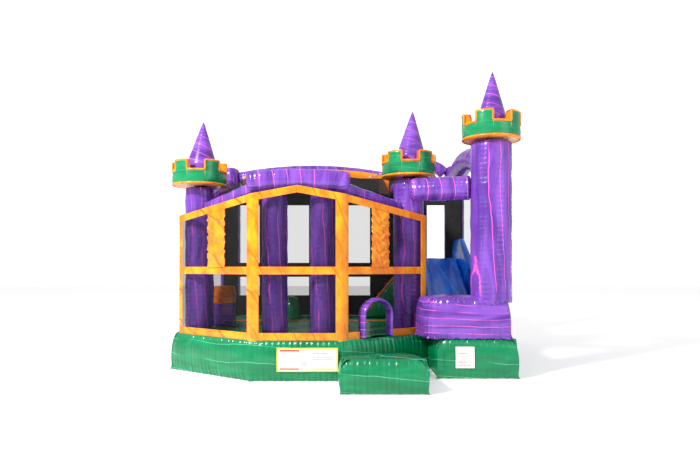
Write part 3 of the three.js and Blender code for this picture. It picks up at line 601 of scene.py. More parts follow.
def add_bounce_floor():
    """The channelled floor of the bouncing room, trimmed to stand in from the base's outline."""
    x = np.linspace(-2.48, 1.32, 90)
    y = np.arange(-2.47, 2.24, CHANNEL_PITCH / 10)
    gx, gy = np.meshgrid(x, y)
    phase = (gy - FLOOR_STRIPE[0]) / CHANNEL_PITCH
    groove = np.abs(np.sin(math.pi * phase))
    z = 0.522 + 0.027 * groove ** 0.45 - 0.004 * (0.5 + 0.5 * ripples(gx, 0.11, 2)) * (1 - groove)
    stripe = (gy[:-1, :-1] > FLOOR_STRIPE[0]) & (gy[:-1, :-1] < FLOOR_STRIPE[1])
    floor_skin = Skin()
    floor_skin.grid(np.stack([gx, gy, z], -1), marks=stripe.astype(int))
    floor = floor_skin.build("bounce_floor", ["green_base", "ember"])
    work = bmesh.new()
    work.from_mesh(floor.data)
    corners = [Vector((*p, 0)) for p in BOUNCE_OUTLINE]
    for a, b in zip(corners, corners[1:] + corners[:1]):
        outward = Vector((b.y - a.y, a.x - b.x, 0)).normalized()
        parts = work.verts[:] + work.edges[:] + work.faces[:]
        edge = a - outward * FLOOR_INSET
        bmesh.ops.bisect_plane(work, geom=parts, plane_co=edge, plane_no=outward, clear_outer=True)
    work.to_mesh(floor.data)
    work.free()


def add_base():
    add_bounce_base()
    add_bounce_floor()
    inflated_slab("slide_base", SLIDE_OUTLINE, 0, BASE_HEIGHT, SEAM_INSETS, 4.1, 0.015,
                  "green_base", "green_vinyl")
    inflated_slab("entrance_step", STEP_OUTLINE, 0, 0.45, (0.07, 0.09), 7.7, 0.03,
                  "green_base", "green_vinyl", spacing=0.012, tuck=0.014, tilt=(0, -0.085))


# ---------- Towers ----------


def add_column(name, x, y, radius, low, high, seed, seams, caps=(0.06, 0.05)):
    z = np.linspace(low, high, int((high - low) / 0.02))
    path = np.stack([np.full_like(z, x), np.full_like(z, y), z], -1)
    tube = inflated_tube(path, radius, seams, seed, up=(0, 1, 0), caps=caps)
    chamber(name, "purple_upright", "purple_vinyl", tube)


def crown_angles():
    """Angles round the crown in degrees from the middle of the first notch, closest at the notch sides."""
    half = [0, 5, 10, 14, 17, NOTCH_HALF - 0.5, NOTCH_HALF + 0.5, 21, 23, 26, 29, 32.5]
    one = sorted({-a for a in half} | set(half)) + [36]
    return np.array([i * NOTCH_STEP + a for i in range(5) for a in one])


def add_crown(side, x, y, low, phase):
    angle = crown_angles()
    from_notch = np.abs((angle + 36) % NOTCH_STEP - 36)
    raised = from_notch > NOTCH_HALF
    top = np.where(raised, CROWN_HEIGHT, CROWN_HEIGHT - NOTCH_DEPTH)
    turn = np.radians(angle + phase)
    around = np.radians(angle) * CROWN_RADIUS
    bulge = 0.012 * np.where(raised, np.cos((from_notch - 36) / 17 * math.pi / 2), 0)
    tucks = 0.4 + ripples(around, 0.06, phase)
    rows, marks = [], []

    def row(radius, height, mark):
        rows.append((np.broadcast_to(radius, angle.shape), np.broadcast_to(height, angle.shape)))
        marks.append(mark)

    row(0.1, 0.012, 1)
    row(0.3, 0.008, 1)
    row(CROWN_RADIUS - 0.05 - 0.006 * tucks, 0.002, 1)
    row(CROWN_RADIUS - 0.02 - 0.01 * tucks, 0.012, 1)
    row(CROWN_RADIUS - 0.012 - 0.012 * tucks, 0.034, 0)
    for share in np.linspace(0.12, 0.93, 9):
        swell = 0.008 * math.sin(math.pi * share)
        row(CROWN_RADIUS - 0.008 + swell + bulge * share - 0.008 * tucks * math.exp(-share / 0.12),
            share * (top - 0.02), 0)
    row(CROWN_RADIUS - 0.004 + bulge, top - 0.022, 1)
    row(CROWN_RADIUS - 0.012 + bulge, top - 0.006, 1)
    row(CROWN_RADIUS - 0.03, top - 0.001, 1)
    row((CROWN_RADIUS + CROWN_INNER) / 2, top, 1)
    row(CROWN_INNER + 0.02, top - 0.001, 1)
    row(CROWN_INNER + 0.004, top - 0.014, 1)
    for share in (0.3, 0.65, 1.0):
        row(CROWN_INNER - 0.004, top - 0.014 + share * (CROWN_HEIGHT - CROWN_WELL - top + 0.014), 1)
    row(0.1, CROWN_HEIGHT - CROWN_WELL - 0.004, 0)
    radius, height = (np.array(part) for part in zip(*rows))
    points = np.stack([x + radius * np.sin(turn), y - radius * np.cos(turn), low + height], -1)
    face_marks = np.repeat(np.array(marks[:-1])[:, None], len(angle), 1)
    jumps = np.abs(np.roll(top, -1) - top) > 0.01
    cut = (height[:-1] > CROWN_HEIGHT - NOTCH_DEPTH - 0.02)
    face_marks = np.where(jumps[None] & (cut | np.roll(cut, -1, 1)), 1, face_marks)
    skin = Skin()
    skin.grid(points, closed=True, marks=face_marks)
    crown = skin.build(f"crown_{side}", ["green_crown", "amber"], [f"crown_{side}"])
    add_crown_piping(side, x, y, low, phase)


def add_crown_piping(side, x, y, low, phase):
    """The rolled edge that runs along the battlements, and the one round the bottom."""
    skin = Skin()
    edge = []
    high, floor = CROWN_HEIGHT - 0.012, CROWN_HEIGHT - NOTCH_DEPTH - 0.004
    merlon = (NOTCH_HALF + 1.2, NOTCH_STEP - NOTCH_HALF - 1.2)
    for i in range(5):
        middle = i * NOTCH_STEP
        edge += [(middle + a, floor) for a in np.linspace(-NOTCH_HALF + 1.2, NOTCH_HALF - 1.2, 12)]
        edge += [(middle + NOTCH_HALF, z) for z in np.linspace(floor + 0.012, high - 0.012, 7)]
        edge += [(middle + a, high) for a in np.linspace(*merlon, 16)]
        edge += [(middle + NOTCH_STEP - NOTCH_HALF, z) for z in np.linspace(high - 0.012, floor + 0.012, 7)]
    for path_edge, thick in ((edge, 0.015), ([(a, 0.02) for a in range(0, 360, 3)], 0.014)):
        turn = np.radians([a + phase for a, _ in path_edge])
        centre = CROWN_RADIUS - 0.004
        path = np.stack([x + centre * np.sin(turn), y - centre * np.cos(turn),
                         low + np.array([z for _, z in path_edge])], -1)
        outward = np.stack([np.sin(turn), -np.cos(turn), np.zeros_like(turn)], -1)
        ahead = np.roll(path, -1, 0) - np.roll(path, 1, 0)
        ahead /= np.linalg.norm(ahead, axis=1)[:, None]
        across = np.cross(ahead, outward)
        around = np.linspace(0, TURN, 10, endpoint=False)
        tube = path[:, None] + thick * (np.cos(around)[None, :, None] * outward[:, None]
                                        + np.sin(around)[None, :, None] * across[:, None])
        skin.grid(np.concatenate([tube, tube[:1]]), closed=True)
    skin.build(f"crown_piping_{side}", ["amber"])


def add_cone(side, x, y, crown, apex):
    low = crown + CROWN_HEIGHT - CROWN_WELL
    height = apex - low
    share = 1 - (1 - np.linspace(0, 1, 70)) ** 1.15
    z = low + height * share
    angle = np.linspace(0, TURN, 96, endpoint=False)
    foot = CONE_RADIUS * (CONE_SPREAD if side != "right" else 1)
    straight = foot + (CONE_TIP * 0.5 - foot) * np.clip((z - low - 0.16) / (height - 0.16), 0, 1)
    radii = straight[:, None] * np.ones(96)
    for seam in np.arange(4) * TURN / 4 + 0.95:
        gap = np.abs((angle - seam + math.pi) % TURN - math.pi)[None] * straight[:, None]
        radii -= near(gap, 0.009) * 0.005
        radii -= near(gap, 0.035) * 0.004 * (0.4 + ripples(z, 0.05, seam + x)[:, None])
    radii -= 0.006 * near(z - low, 0.09)[:, None] * (0.5 + ripples(angle * CONE_RADIUS, 0.05, x))[None]
    radii *= rounded_end(apex - z, 0.02, 2)[:, None]
    radii[0] *= 0.4
    lean = CONE_LEAN * (1 if side != "right" else 0.3) * (0.4 + 0.6 * (z - low) / height)
    points = np.stack([x + lean[:, None] + radii * np.sin(angle), y - radii * np.cos(angle),
                       np.broadcast_to(z[:, None], radii.shape)], -1)
    chamber(f"cone_{side}", "purple_cone", "purple_vinyl", points)


def add_towers():
    for side, t in TOWERS.items():
        add_column(f"tower_column_{side}", t["x"], t["y"], t["radius"], t["foot"] - FOOT_SUNK,
                   t["crown"] - 0.001, t["x"] * 3, [-0.9, 1.2, 3.3, 4.5], caps=(0.03, 0.04))
        add_crown(side, t["x"], t["y"], t["crown"], t["phase"])
        add_cone(side, t["x"], t["y"], t["crown"], t["apex"])


# ---------- Columns and beams ----------


def add_beam(name, start, end, radius, rise, seed, material, caps=(0.05, 0.05)):
    tube = inflated_tube(arched_path(start, end, rise), radius, (0.4, 2.7), seed, caps=caps)
    chamber(name, material, "purple_vinyl", tube)


def short_of(start, end, start_gap, end_gap):
    """The two ends of a beam, moved in along it so that it stops at the columns' skins."""
    start, end = np.array(start, float), np.array(end, float)
    along = (end - start) / np.linalg.norm(end - start)
    return start + along * start_gap, end - along * end_gap


def add_columns_and_beams():
    for side, x in FRONT_COLUMNS.items():
        add_column(f"front_column_{side}", x, FRONT_COLUMN_Y, FRONT_COLUMN_RADIUS, DECK, FRONT_COLUMN_TOP,
                   x * 5, [-1.2, 1.0, 2.6])
    for side, (x, radius, top) in REAR_COLUMNS.items():
        add_column(f"rear_column_{side}", x, REAR_Y, radius, DECK, top, x * 4, [-0.8, 1.4, 3.2],
                   caps=(0.06, radius))

    add_beam("front_beam", (-1.255, -2.235, 2.655), (0.155, -2.235, 2.655), 0.15, 0.035, 2.2,
             "purple_ringed", caps=(0.1, 0.1))
    tower = {side: (t["x"], t["y"]) for side, t in TOWERS.items()}
    rear = {side: (x, REAR_Y) for side, (x, _, _) in REAR_COLUMNS.items()}
    for side, corner_x, gap, seed in (("left", -1.09, 0.195, 5.1), ("middle", -0.01, 0.215, 8.2)):
        start, end = short_of((*tower[side], 2.35), (corner_x, -2.235, 2.59), gap, 0.03)
        name = "bay_beam_left" if side == "left" else "bay_beam_right"
        add_beam(name, start, end, 0.095, 0, seed, "purple_ringed")
    for side, low, high, radius, rise, gap in (
            ("left", 2.43, 3.18, 0.13, 0.06, 0.2), ("middle", 2.62, 3.08, 0.12, 0.06, 0.22),
            ("right", 2.9, 3.3, 0.18, 0.25, 0.27)):
        start, end = short_of((*tower[side], low), (*rear[side], high), gap, 0.185)
        add_beam(f"side_beam_{side}", start, end, radius, rise, radius * 40, "purple_deep",
                 caps=(0.13, 0.13))
    _, end = short_of((1.17, -1.67, 2.63), (*tower["right"], 2.63), 0, 0.27)
    add_beam("slide_front_beam", (1.005, -1.622, 2.63), end, 0.17, 0, 3.6, "purple_ringed",
             caps=(0.15, 0.05))
    for name, first, low, last, high, end_gap, radius, rise, seed in (
            ("back_arch", "left", 3.3, "middle", 3.3, 0.185, 0.14, 0.14, 6.4),
            ("slide_back_arch", "middle", 3.34, "right", 3.42, 0.195, 0.12, 0.22, 9.3)):
        start, end = short_of((*rear[first], low), (*rear[last], high), 0.185, end_gap)
        add_beam(name, start, end, radius, rise, seed, "purple_ringed")


# ---------- Flat walls: netting, straps and back wall ----------


class Wall:
    """A standing plane between two plan points; points on it are (distance along, height, outward)."""

    def __init__(self, start, end):
        self.start = np.array(start, float)
        run = np.array(end, float) - self.start
        self.length = np.linalg.norm(run)
        self.along = run / self.length
        self.outward = np.array([self.along[1], -self.along[0]])

    def points(self, s, z, out):
        plan = self.start + s[..., None] * self.along + out[..., None] * self.outward
        return np.concatenate([plan, z[..., None]], -1)

    def patch(self, s_values, low, high, rows, out):
        """A grid from height low(s) to high(s); out(s, z, share) says how far it stands off the plane."""
        s = np.asarray(s_values, float)
        share = np.linspace(0, 1, rows)[:, None]
        bottom, top = (np.broadcast_to(f(s) if callable(f) else f, s.shape) for f in (low, high))
        z = bottom + share * (top - bottom)
        s_grid = np.broadcast_to(s, z.shape)
        return self.points(s_grid, z, out(s_grid, z, np.broadcast_to(share, z.shape)))


def sloped(s0, z0, s1, z1):
    return lambda s: z0 + (z1 - z0) * (np.asarray(s) - s0) / (s1 - s0)


def gable(s):
    return NET_CORNER + (NET_PEAK - NET_CORNER) * (1 - np.abs(2 * np.asarray(s) / FRONT_LENGTH - 1))


def door_curve(s, grow=0.0):
    """Height of the doorway's edge above each distance along the right wall."""
    middle, reach = sum(DOOR) / 2, (DOOR[1] - DOOR[0]) / 2 + grow
    share = np.clip(np.abs(np.asarray(s, float) - middle) / reach, 0, 1)
    return DOOR_SPRING + (DOOR_TOP - DOOR_SPRING + grow) * np.sqrt(1 - share ** 2)


def billow(depth, seed):
    """Netting hangs a little slack between its straps."""
    def out(s, z, share):
        slack = 0.3 + ripples(s, 0.6, seed) * ripples(z, 0.9, seed + 1)
        return depth * slack * np.sin(math.pi * share)
    return out


def add_net(name, wall, parts, seed):
    skin = Skin()
    for s_values, low, high in parts:
        skin.grid(wall.patch(s_values, low, high, 24, billow(0.006, seed)))
    skin.build(name, ["net"], [name])


def band_out(seed, base=0.012):
    """A taut strap: nearly flat, with short tucks where it is stitched along both edges."""
    def out(s, z, share):
        edge = near(share, 0.18) + near(1 - share, 0.18)
        return base + 0.0022 * ripples(s + 0.3 * z, 0.055, seed) * edge + 0.004 * np.sin(math.pi * share)
    return out


def upright_out(seed, base=STRAP_PROUD):
    """A standing strap: tucks run across it from both stitched edges."""
    def out(s, z, share):
        across = (s - s.min()) / max(float(np.ptp(s)), 1e-6)
        edge = near(across, 0.2) + near(1 - across, 0.2)
        return base + 0.003 * ripples(z, 0.07, seed) * edge + 0.005 * np.sin(math.pi * across)
    return out


def loose_out(seed):
    """A wide slack strip: deep wandering wrinkles, flat only at its top and bottom seams."""
    def out(s, z, share):
        held = np.clip(np.minimum(share, 1 - share) / 0.12, 0, 1)
        across = (s - s.min()) / max(float(np.ptp(s)), 1e-6)
        wander = z + 0.05 * ripples(s, 0.33, seed)
        folds = 0.016 * ripples(wander, 0.13, seed) + 0.009 * ripples(wander + s, 0.06, seed + 2)
        return STRAP_PROUD + held * (folds + 0.014 * np.sin(math.pi * across)) + 0.012
    return out


def add_strap_frame(name, wall, bands, uprights, loose, seed):
    skin = Skin()
    for i, (s0, s1, low, high) in enumerate(bands):
        skin.grid(wall.patch(np.linspace(s0, s1, max(8, int((s1 - s0) / 0.014))), low, high, 9,
                             band_out(seed + i)))
    for i, (s0, s1, low, high) in enumerate(uprights):
        skin.grid(wall.patch(np.linspace(s0, s1, 9), low, high, 130, upright_out(seed + 7 * i)))
    for s0, s1, low, high in loose:
        skin.grid(wall.patch(np.linspace(s0, s1, 22), low, high, 80, loose_out(seed)))
    frame_piece = skin.build(name, ["amber"], [name], weld=False)
    hem = frame_piece.modifiers.new("thickness", "SOLIDIFY")
    hem.thickness = 0.003


def add_bay():
    walls = {side: Wall(*ends) for side, ends in BAY.items()}
    low, mid_low, mid_high = DECK - 0.045, *BAND_MIDDLE
    rise = sloped(0, NET_SIDE, SIDE_LENGTH, NET_CORNER)
    fall = sloped(0, NET_CORNER, SIDE_LENGTH, NET_SIDE)

    def under(top):
        return lambda s: top(s) - TOP_DEPTH

    s_all = np.linspace(0.004, SIDE_LENGTH - 0.008, 40)
    add_net("net_bay_left", walls["left"], [(s_all, low, rise)], 1)
    end = SIDE_LENGTH + 0.006
    add_strap_frame("strap_frame_left", walls["left"], [
        (0.004, end, low, BAND_BOTTOM), (0.004, end, mid_low, mid_high), (0.004, end, under(rise), rise),
    ], [(0.004, 0.075, low, rise), (1.456, end, low, rise)],
        [(0.664, 1.026, mid_high - 0.01, under(rise))], 3)

    s_front = np.linspace(0.008, FRONT_LENGTH - 0.008, 41)
    add_net("net_bay_front", walls["front"], [(s_front, low, gable)], 2)
    left, right = -0.006, FRONT_LENGTH + 0.006
    add_strap_frame("strap_frame_front", walls["front"], [
        (left, right, low, BAND_BOTTOM), (left, right, mid_low, mid_high),
        (left, 0.6, under(gable), gable), (0.6, right, under(gable), gable),
    ], [(left, 0.09, low, gable), (1.11, right, low, gable)], [], 5)

    door_left, door_right = DOOR[0] - 0.008, DOOR[1] + 0.008
    end = SIDE_LENGTH - 0.004
    add_net("net_bay_right", walls["right"], [
        (np.linspace(0.008, door_left, 12), low, fall),
        (np.linspace(door_left, door_right, 30), lambda s: door_curve(s, 0.008), fall),
        (np.linspace(door_right, end, 20), low, fall),
    ], 4)
    add_strap_frame("strap_frame_right", walls["right"], [
        (left, door_left, low, BAND_BOTTOM), (door_right, end, low, BAND_BOTTOM),
        (left, end, mid_low, mid_high), (left, end, under(fall), fall),
    ], [(left, 0.09, low, fall), (1.436, end, low, fall)],
        [(0.489, 0.805, mid_high - 0.01, under(fall))], 8)
    add_entrance_arch(walls["right"])


def add_entrance_arch(wall):
    middle, reach = sum(DOOR) / 2, (DOOR[1] - DOOR[0]) / 2 - DOOR_TUBE
    rise = DOOR_TOP - DOOR_TUBE - DOOR_SPRING
    turn = np.linspace(math.pi, 0, 60)
    legs = np.linspace(DECK, DOOR_SPRING, 18, endpoint=False)
    left, right = np.full(18, middle - reach), np.full(18, middle + reach)
    s = np.concatenate([left, middle + reach * np.cos(turn), right])
    z = np.concatenate([legs, DOOR_SPRING + rise * np.sin(turn), legs[::-1]])
    run = np.concatenate([[0], np.cumsum(np.hypot(np.diff(s), np.diff(z)))])
    ahead = np.gradient(np.stack([s, z], -1), axis=0)
    ahead /= np.linalg.norm(ahead, axis=1)[:, None]
    angle = np.linspace(0, TURN, 28, endpoint=False)
    tucks = 0.0045 * near(np.abs(np.sin(angle)) - 1, 0.25)[None] * (0.5 + ripples(run, 0.06, 2)[:, None])
    tube = (DOOR_TUBE - 0.01 - tucks) * np.sin(angle)[None]
    depth = np.broadcast_to(DOOR_DEPTH * np.cos(angle), tube.shape)
    s_grid = s[:, None] - ahead[:, 1][:, None] * tube
    z_grid = np.maximum(z[:, None] + ahead[:, 0][:, None] * tube, DECK - 0.002)
    chamber("entrance_arch", "purple_level", "purple_vinyl", wall.points(s_grid, z_grid, depth))


def add_other_walls():
    for name, start, end, first_top, last_top, steps, seed in (
            ("net_side_left", (-2.38, 1.738), (-2.38, -1.438), 2.964, 2.27, 50, 5),
            ("net_divider", (1.292, 1.04), (1.292, -1.2), 2.82, 2.48, 40, 6),
            ("net_slide_side", (2.35, 1.738), (2.35, -1.675), 3.0, 2.74, 50, 7)):
        wall = Wall(start, end)
        s = np.linspace(0, wall.length, steps)
        add_net(name, wall, [(s, DECK, sloped(0, first_top, wall.length, last_top))], seed)
    add_back_wall()
    add_roof_net()


def add_back_wall():
    """Black cloth at the back with netting windows, higher over the bouncing room than at its ends."""
    def breaks(low, high, pairs, step):
        marks = sorted({low, high} | {v for pair in pairs for v in pair})
        parts = [np.linspace(a, b, max(2, int((b - a) / step) + 1))[:-1] for a, b in zip(marks, marks[1:])]
        return np.append(np.concatenate(parts), high)

    x = breaks(-2.39, 2.4, WINDOW_COLUMNS, 0.05)
    z = breaks(DECK, 3.0, WINDOW_ROWS, 0.05)
    gx, gz = np.meshgrid(x, z)
    lift = np.interp(x, [-2.1, -1.9, 1.2, 1.3], [0, 0.27, 0.27, 0])
    gz = gz + lift * np.clip((gz - WINDOW_ROWS[-1][1]) / (3.0 - WINDOW_ROWS[-1][1]), 0, 1)
    y = BACK_WALL_Y + 0.003 * ripples(gx, 0.5, 1) * ripples(gz, 0.8, 2)
    middle_x, middle_z = (x[:-1] + x[1:]) / 2, (z[:-1] + z[1:]) / 2
    across = np.any([(middle_x > a) & (middle_x < b) for a, b in WINDOW_COLUMNS], axis=0)
    upward = np.any([(middle_z > a) & (middle_z < b) for a, b in WINDOW_ROWS], axis=0)
    skin = Skin()
    skin.grid(np.stack([gx, y, gz], -1), marks=(across[None] & upward[:, None]).astype(int))
    wall = skin.build("back_wall", ["black_cloth", "net_window"], ["back_wall"])


def add_roof_net():
    """Flat over the middle, folding down to the two towers of the bay."""
    front_left, front_right = (-1.0, -2.07, 2.726), (-0.1, -2.07, 2.726)
    back_left, back_right = (-1.96, 1.79, 3.296), (0.81, 1.79, 3.296)
    tower_left, tower_right = (-1.88, -1.18, 2.586), (0.78, -1.18, 2.586)
    skin = Skin()
    for a, b, c, d in ((front_left, front_right, back_right, back_left),
                       (tower_left, front_left, back_left, back_left),
                       (front_right, tower_right, back_right, back_right)):
        a, b, c, d = (np.array(p) for p in (a, b, c, d))
        u, v = np.meshgrid(np.linspace(0, 1, 30), np.linspace(0, 1, 50))
        u, v = u[..., None], v[..., None]
        points = (a * (1 - u) + b * u) * (1 - v) + (d * (1 - u) + c * u) * v
        sag = 0.02 * np.sin(math.pi * u[..., 0]) * np.sin(math.pi * v[..., 0])
        points[..., 2] -= sag
        skin.grid(points)
    roof = skin.build("roof_net", ["net_roof"], ["roof_net"])
    add_roof_trim()


def add_roof_trim():
    """Amber straps that edge the roof net below the back arch."""
    skin = Skin()
    wall = Wall((-1.99, 1.735), (0.93, 1.735))
    s = np.linspace(0, wall.length, 160)

    def arch(v):
        return 3.3 + 0.14 * 4 * (v / wall.length) * (1 - v / wall.length)

    skin.grid(wall.patch(s, lambda v: arch(v) - 0.1, lambda v: arch(v) + 0.035, 9, band_out(2, 0)))
    skin.grid(wall.patch(np.linspace(0, 0.11, 9), 2.98, 3.32, 40, upright_out(3, 0.002)))
    post = np.linspace(wall.length - 0.2, wall.length, 9)
    skin.grid(wall.patch(post, 2.98, 3.36, 40, upright_out(4, 0.002)))
    trim = skin.build("roof_trim", ["amber"], weld=False)


# ---------- Slide and play pieces ----------


def add_slide():
    y = np.linspace(SLIDE_FOOT_Y, PLATFORM_BACK, 150)
    top = np.interp(y, [SLIDE_FOOT_Y, SLIDE_CREST_Y, PLATFORM_BACK], [SLIDE_FOOT, SLIDE_TOP, SLIDE_TOP])
    x = np.linspace(1.3, SLIDE_LEFT - 0.004, 16)
    platform = (SLIDE_CREST_Y + 0.01, PLATFORM_BACK)
    chamber("slide_bed", "blue_slide", "blue_vinyl",
            ridge(y, (SLIDE_LEFT, SLIDE_RIGHT), DECK, top, 1.0, power=9, grooves=3, cap=0.03),
            ridge(x, platform, DECK, SLIDE_TOP, 2.0, axis="x", power=9, cap=0.03))
    for name, low_x, high_x, back in (("slide_wall_left", 1.335, 1.506, SLIDE_CREST_Y),
                                      ("slide_wall_right", 2.179, 2.34, PLATFORM_BACK)):
        y = np.linspace(SLIDE_FRONT_Y, back, 160)
        top = WALL_RISE + np.interp(y, [SLIDE_FRONT_Y, SLIDE_FOOT_Y, SLIDE_CREST_Y, PLATFORM_BACK],
                                    [SLIDE_FOOT, SLIDE_FOOT, SLIDE_TOP, SLIDE_TOP])
        chamber(name, "blue_slide", "blue_vinyl", ridge(y, (low_x, high_x), DECK, top, low_x * 9, power=4))
    y = np.linspace(SLIDE_FRONT_Y, SLIDE_FOOT_Y - 0.004, 40)
    chamber("slide_landing", "blue_slide", "blue_vinyl",
            ridge(y, (SLIDE_LEFT, SLIDE_RIGHT), DECK, SLIDE_FOOT, 3.0, power=7, grooves=3))
    inflated_slab("end_wall", END_WALL_OUTLINE, DECK - 0.02, 1.14, (0.03, 0.06), 2.9, 0.05, "purple_level",
                  "purple_vinyl", spacing=0.01, tuck=0.012, tilt=(-0.03, 0))


def ramp_top(x):
    return np.interp(x, RAMP_RUN, RAMP_HEIGHTS)


def add_play_pieces():
    x = np.linspace(*RAMP_RUN, 110)
    chamber("climb_ramp", "green_crown", "green_vinyl",
            ridge(x, (1.067, 1.739), DECK, ramp_top(x), 5.0, axis="x", power=7, cap=0.04))
    add_ramp_grips()
    add_pillar()
    add_dome()


def add_ramp_grips():
    """Amber side edge and rung-like grips sewn across the ramp."""
    skin = Skin()
    x = np.linspace(0.44, 1.25, 60)
    edge = np.stack([x, np.full_like(x, 1.1), ramp_top(x) - 0.004], -1)
    radii = 0.026 - 0.003 * (0.5 + ripples(x, 0.05, 1))[:, None] * np.ones(12)
    skin.grid(ring_path(edge, radii), closed=True)
    for middle in np.arange(0.55, 1.2, 0.16):
        y = np.linspace(1.17, 1.66, 30)
        swell = 0.024 * rounded_end(np.minimum(y - 1.17, 1.66 - y), 0.04)
        rung = np.stack([np.full_like(y, middle), y, np.full_like(y, ramp_top(middle) + 0.004)], -1)
        skin.grid(ring_path(rung, np.maximum(swell, 1e-4)[:, None] * np.ones(12)), closed=True)
    skin.build("ramp_grips", ["ember"])


def add_pillar():
    skin = Skin()
    outline = [(-2.06, -0.66), (-1.74, -0.66), (-1.74, -0.34), (-2.06, -0.34)]
    wall = inflated_wall(outline, DECK, 1.2, (0.025, 0.03), 3.3, 0.01, ear=0.0, tuck=0.008)
    middle = (wall[:-1, :, 2] + wall[1:, :, 2]) / 2
    # Two-tone: orange (ember) above 0.92 m and purple below. The orange top is the pillar's own colour; the
    # purple lower part is painted shade, standing for the dark that falls on the pillar's foot.
    skin.grid(wall, closed=True, marks=(middle < 0.92).astype(int))
    skin.grid(domed_top(wall[-1], 0.012, 3.3), closed=True)
    pillar = skin.build("pillar_obstacle", ["ember", "purple_level"], ["pillar_obstacle"])


def add_dome():
    angle = np.linspace(0, TURN, 72, endpoint=False)
    height = 0.4 * np.sin(np.linspace(0, math.pi / 2, 28))
    radius = 0.2 * np.cos(np.linspace(0, math.pi / 2, 28)) ** 0.7
    gores = 0.012 * np.abs(np.cos(3 * angle)) ** 5
    radii = np.maximum(radius[:, None] - gores * (radius[:, None] / 0.2), 1e-6)
    points = np.stack([-0.98 + radii * np.cos(angle), 1.25 + radii * np.sin(angle),
                       DECK + np.broadcast_to(height[:, None], radii.shape)], -1)
    chamber("dome_obstacle", "green_crown", "green_vinyl", points)


# ---------- Labels ----------


def add_label(name, x0, x1, z0, z1, front, border, lines, bars):
    """A printed patch: a white field in a border, and plain bars and lines in place of any words."""
    x, z = np.linspace(x0, x1, 161), np.linspace(z0, z1, 97)
    gx, gz = np.meshgrid(x, z)
    across = (x[:-1] + x[1:] - 2 * x0) / (2 * (x1 - x0))
    upward = (z[:-1] + z[1:] - 2 * z0) / (2 * (z1 - z0))
    u, v = np.meshgrid(across, upward)
    marks = np.full(u.shape, border)
    for a, b, c, d, mark in [(0.025, 0.975, 0.05, 0.95, 1)] + bars + lines:
        marks[(u > a) & (u < b) & (v > c) & (v < d)] = mark
    skin = Skin()
    stand = swelling(gz / (BASE_HEIGHT - 0.013), SEAM_INSETS) - SWELL - 0.006 * ripples(gx, 0.63, 1) - 0.008
    skin.grid(np.stack([gx, front + stand, gz], -1), marks=marks)
    colours = ["label_yellow", "label_white", "label_red", "label_grey"]
    label = skin.build(name, colours, [name])
    label.modifiers.new("thickness", "SOLIDIFY").thickness = 0.0004


def text_lines(left, right, bottom, top, count, mark):
    """Plain stripes of uneven length that stand for lines of print."""
    pitch = (top - bottom) / count
    lines = []
    for i in range(count):
        end = left + (right - left) * (0.78 + 0.2 * math.sin(7 * i + 20 * left))
        lines.append((left, end, bottom + (i + 0.3) * pitch, bottom + (i + 0.62) * pitch, mark))
    return lines


def add_labels():
    add_label("warning_label", -0.812, -0.007, 0.138, 0.45, -2.476, 0,
              text_lines(0.07, 0.36, 0.2, 0.8, 7, 3) + text_lines(0.4, 0.54, 0.12, 0.5, 4, 3)
              + text_lines(0.58, 0.93, 0.2, 0.9, 8, 3),
              [(0.05, 0.37, 0.84, 0.92, 2), (0.05, 0.37, 0.08, 0.15, 2), (0.58, 0.95, 0.08, 0.14, 0)])
    add_label("rules_label", 1.567, 1.82, 0.153, 0.441, -2.286, 1,
              text_lines(0.12, 0.88, 0.52, 0.85, 5, 3) + text_lines(0.12, 0.88, 0.1, 0.42, 5, 2), [])


# ---------- Tie rope ----------


def add_tie_rope():
    """Three twisted strands, two white and one blue."""
    ends = np.array(ROPE_POINTS)
    knots = np.linspace(0, 1, len(ends))
    share = np.linspace(0, 1, 160)
    path = np.stack([np.interp(share, knots, ends[:, i]) for i in range(3)], -1)
    for _ in range(60):
        path[1:-1] = (path[:-2] + path[2:]) / 4 + path[1:-1] / 2
    angle = np.linspace(0, TURN, 24, endpoint=False)
    run = np.linspace(0, ROPE_LENGTH, 160)
    twist = 3 * angle[None] - TURN * run[:, None] / 0.03
    radii = ROPE_RADIUS - 0.0022 * np.abs(np.sin(twist / 2)) ** 0.5 * 0.6
    strand = np.floor(((angle[None] - TURN * run[:, None] / 0.09) / TURN * 3) % 3)
    skin = Skin()
    skin.grid(ring_path(path, radii), closed=True, marks=(strand[:-1] == 0).astype(int))
    skin.build("tie_rope", ["rope_white", "rope_blue"], ["tie_rope"])


# ---------- Anchors, zip, sleeve and blower ----------


def add_anchor(side, x):
    skin = Skin()
    u, v = np.meshgrid(np.linspace(-1, 1, 41), np.linspace(-1, 1, 41))
    stitched = np.abs(np.maximum(np.abs(u), np.abs(v)) - 0.84) < 0.06
    proud = 0.0035 + 0.0012 * (1 - np.maximum(np.abs(u), np.abs(v)) ** 6) - 0.0012 * stitched
    skin.grid(np.stack([x + 0.065 * u, 2.241 + proud, 0.235 + 0.06 * v], -1))
    back = np.stack([x + 0.065 * u, np.full_like(u, 2.2412), 0.235 + 0.06 * v], -1)
    skin.grid(back)
    turn = np.linspace(0, TURN, 36, endpoint=False)
    width = np.linspace(-0.025, 0.025, 12)
    for radius in (0.0118, 0.0085):
        ribs = radius + 0.0004 * np.cos(width * 900)
        skin.grid(np.stack([x + np.broadcast_to(width[:, None], (12, 36)),
                            2.255 + ribs[:, None] * np.cos(turn), 0.23 + ribs[:, None] * np.sin(turn)], -1),
                  closed=True)
    skin.build(f"anchor_patch_{side}", ["webbing"], [f"anchor_patch_{side}"])


def add_zip():
    skin = Skin()
    x = np.linspace(0.15, 0.77, 400)
    z = np.linspace(0.265, 0.335, 15)
    gx, gz = np.meshgrid(x, z)
    teeth = np.abs(gz - 0.3) < 0.0055
    tooth = 0.0035 + 0.0012 * np.sign(np.sin(gx * TURN / 0.006))
    proud = 0.0022 + 0.0005 * ripples(gx, 0.05, 2) + teeth * tooth
    skin.grid(np.stack([gx, 2.241 + proud, gz], -1))
    skin.build("zip_tape", ["webbing"], ["zip_tape"])


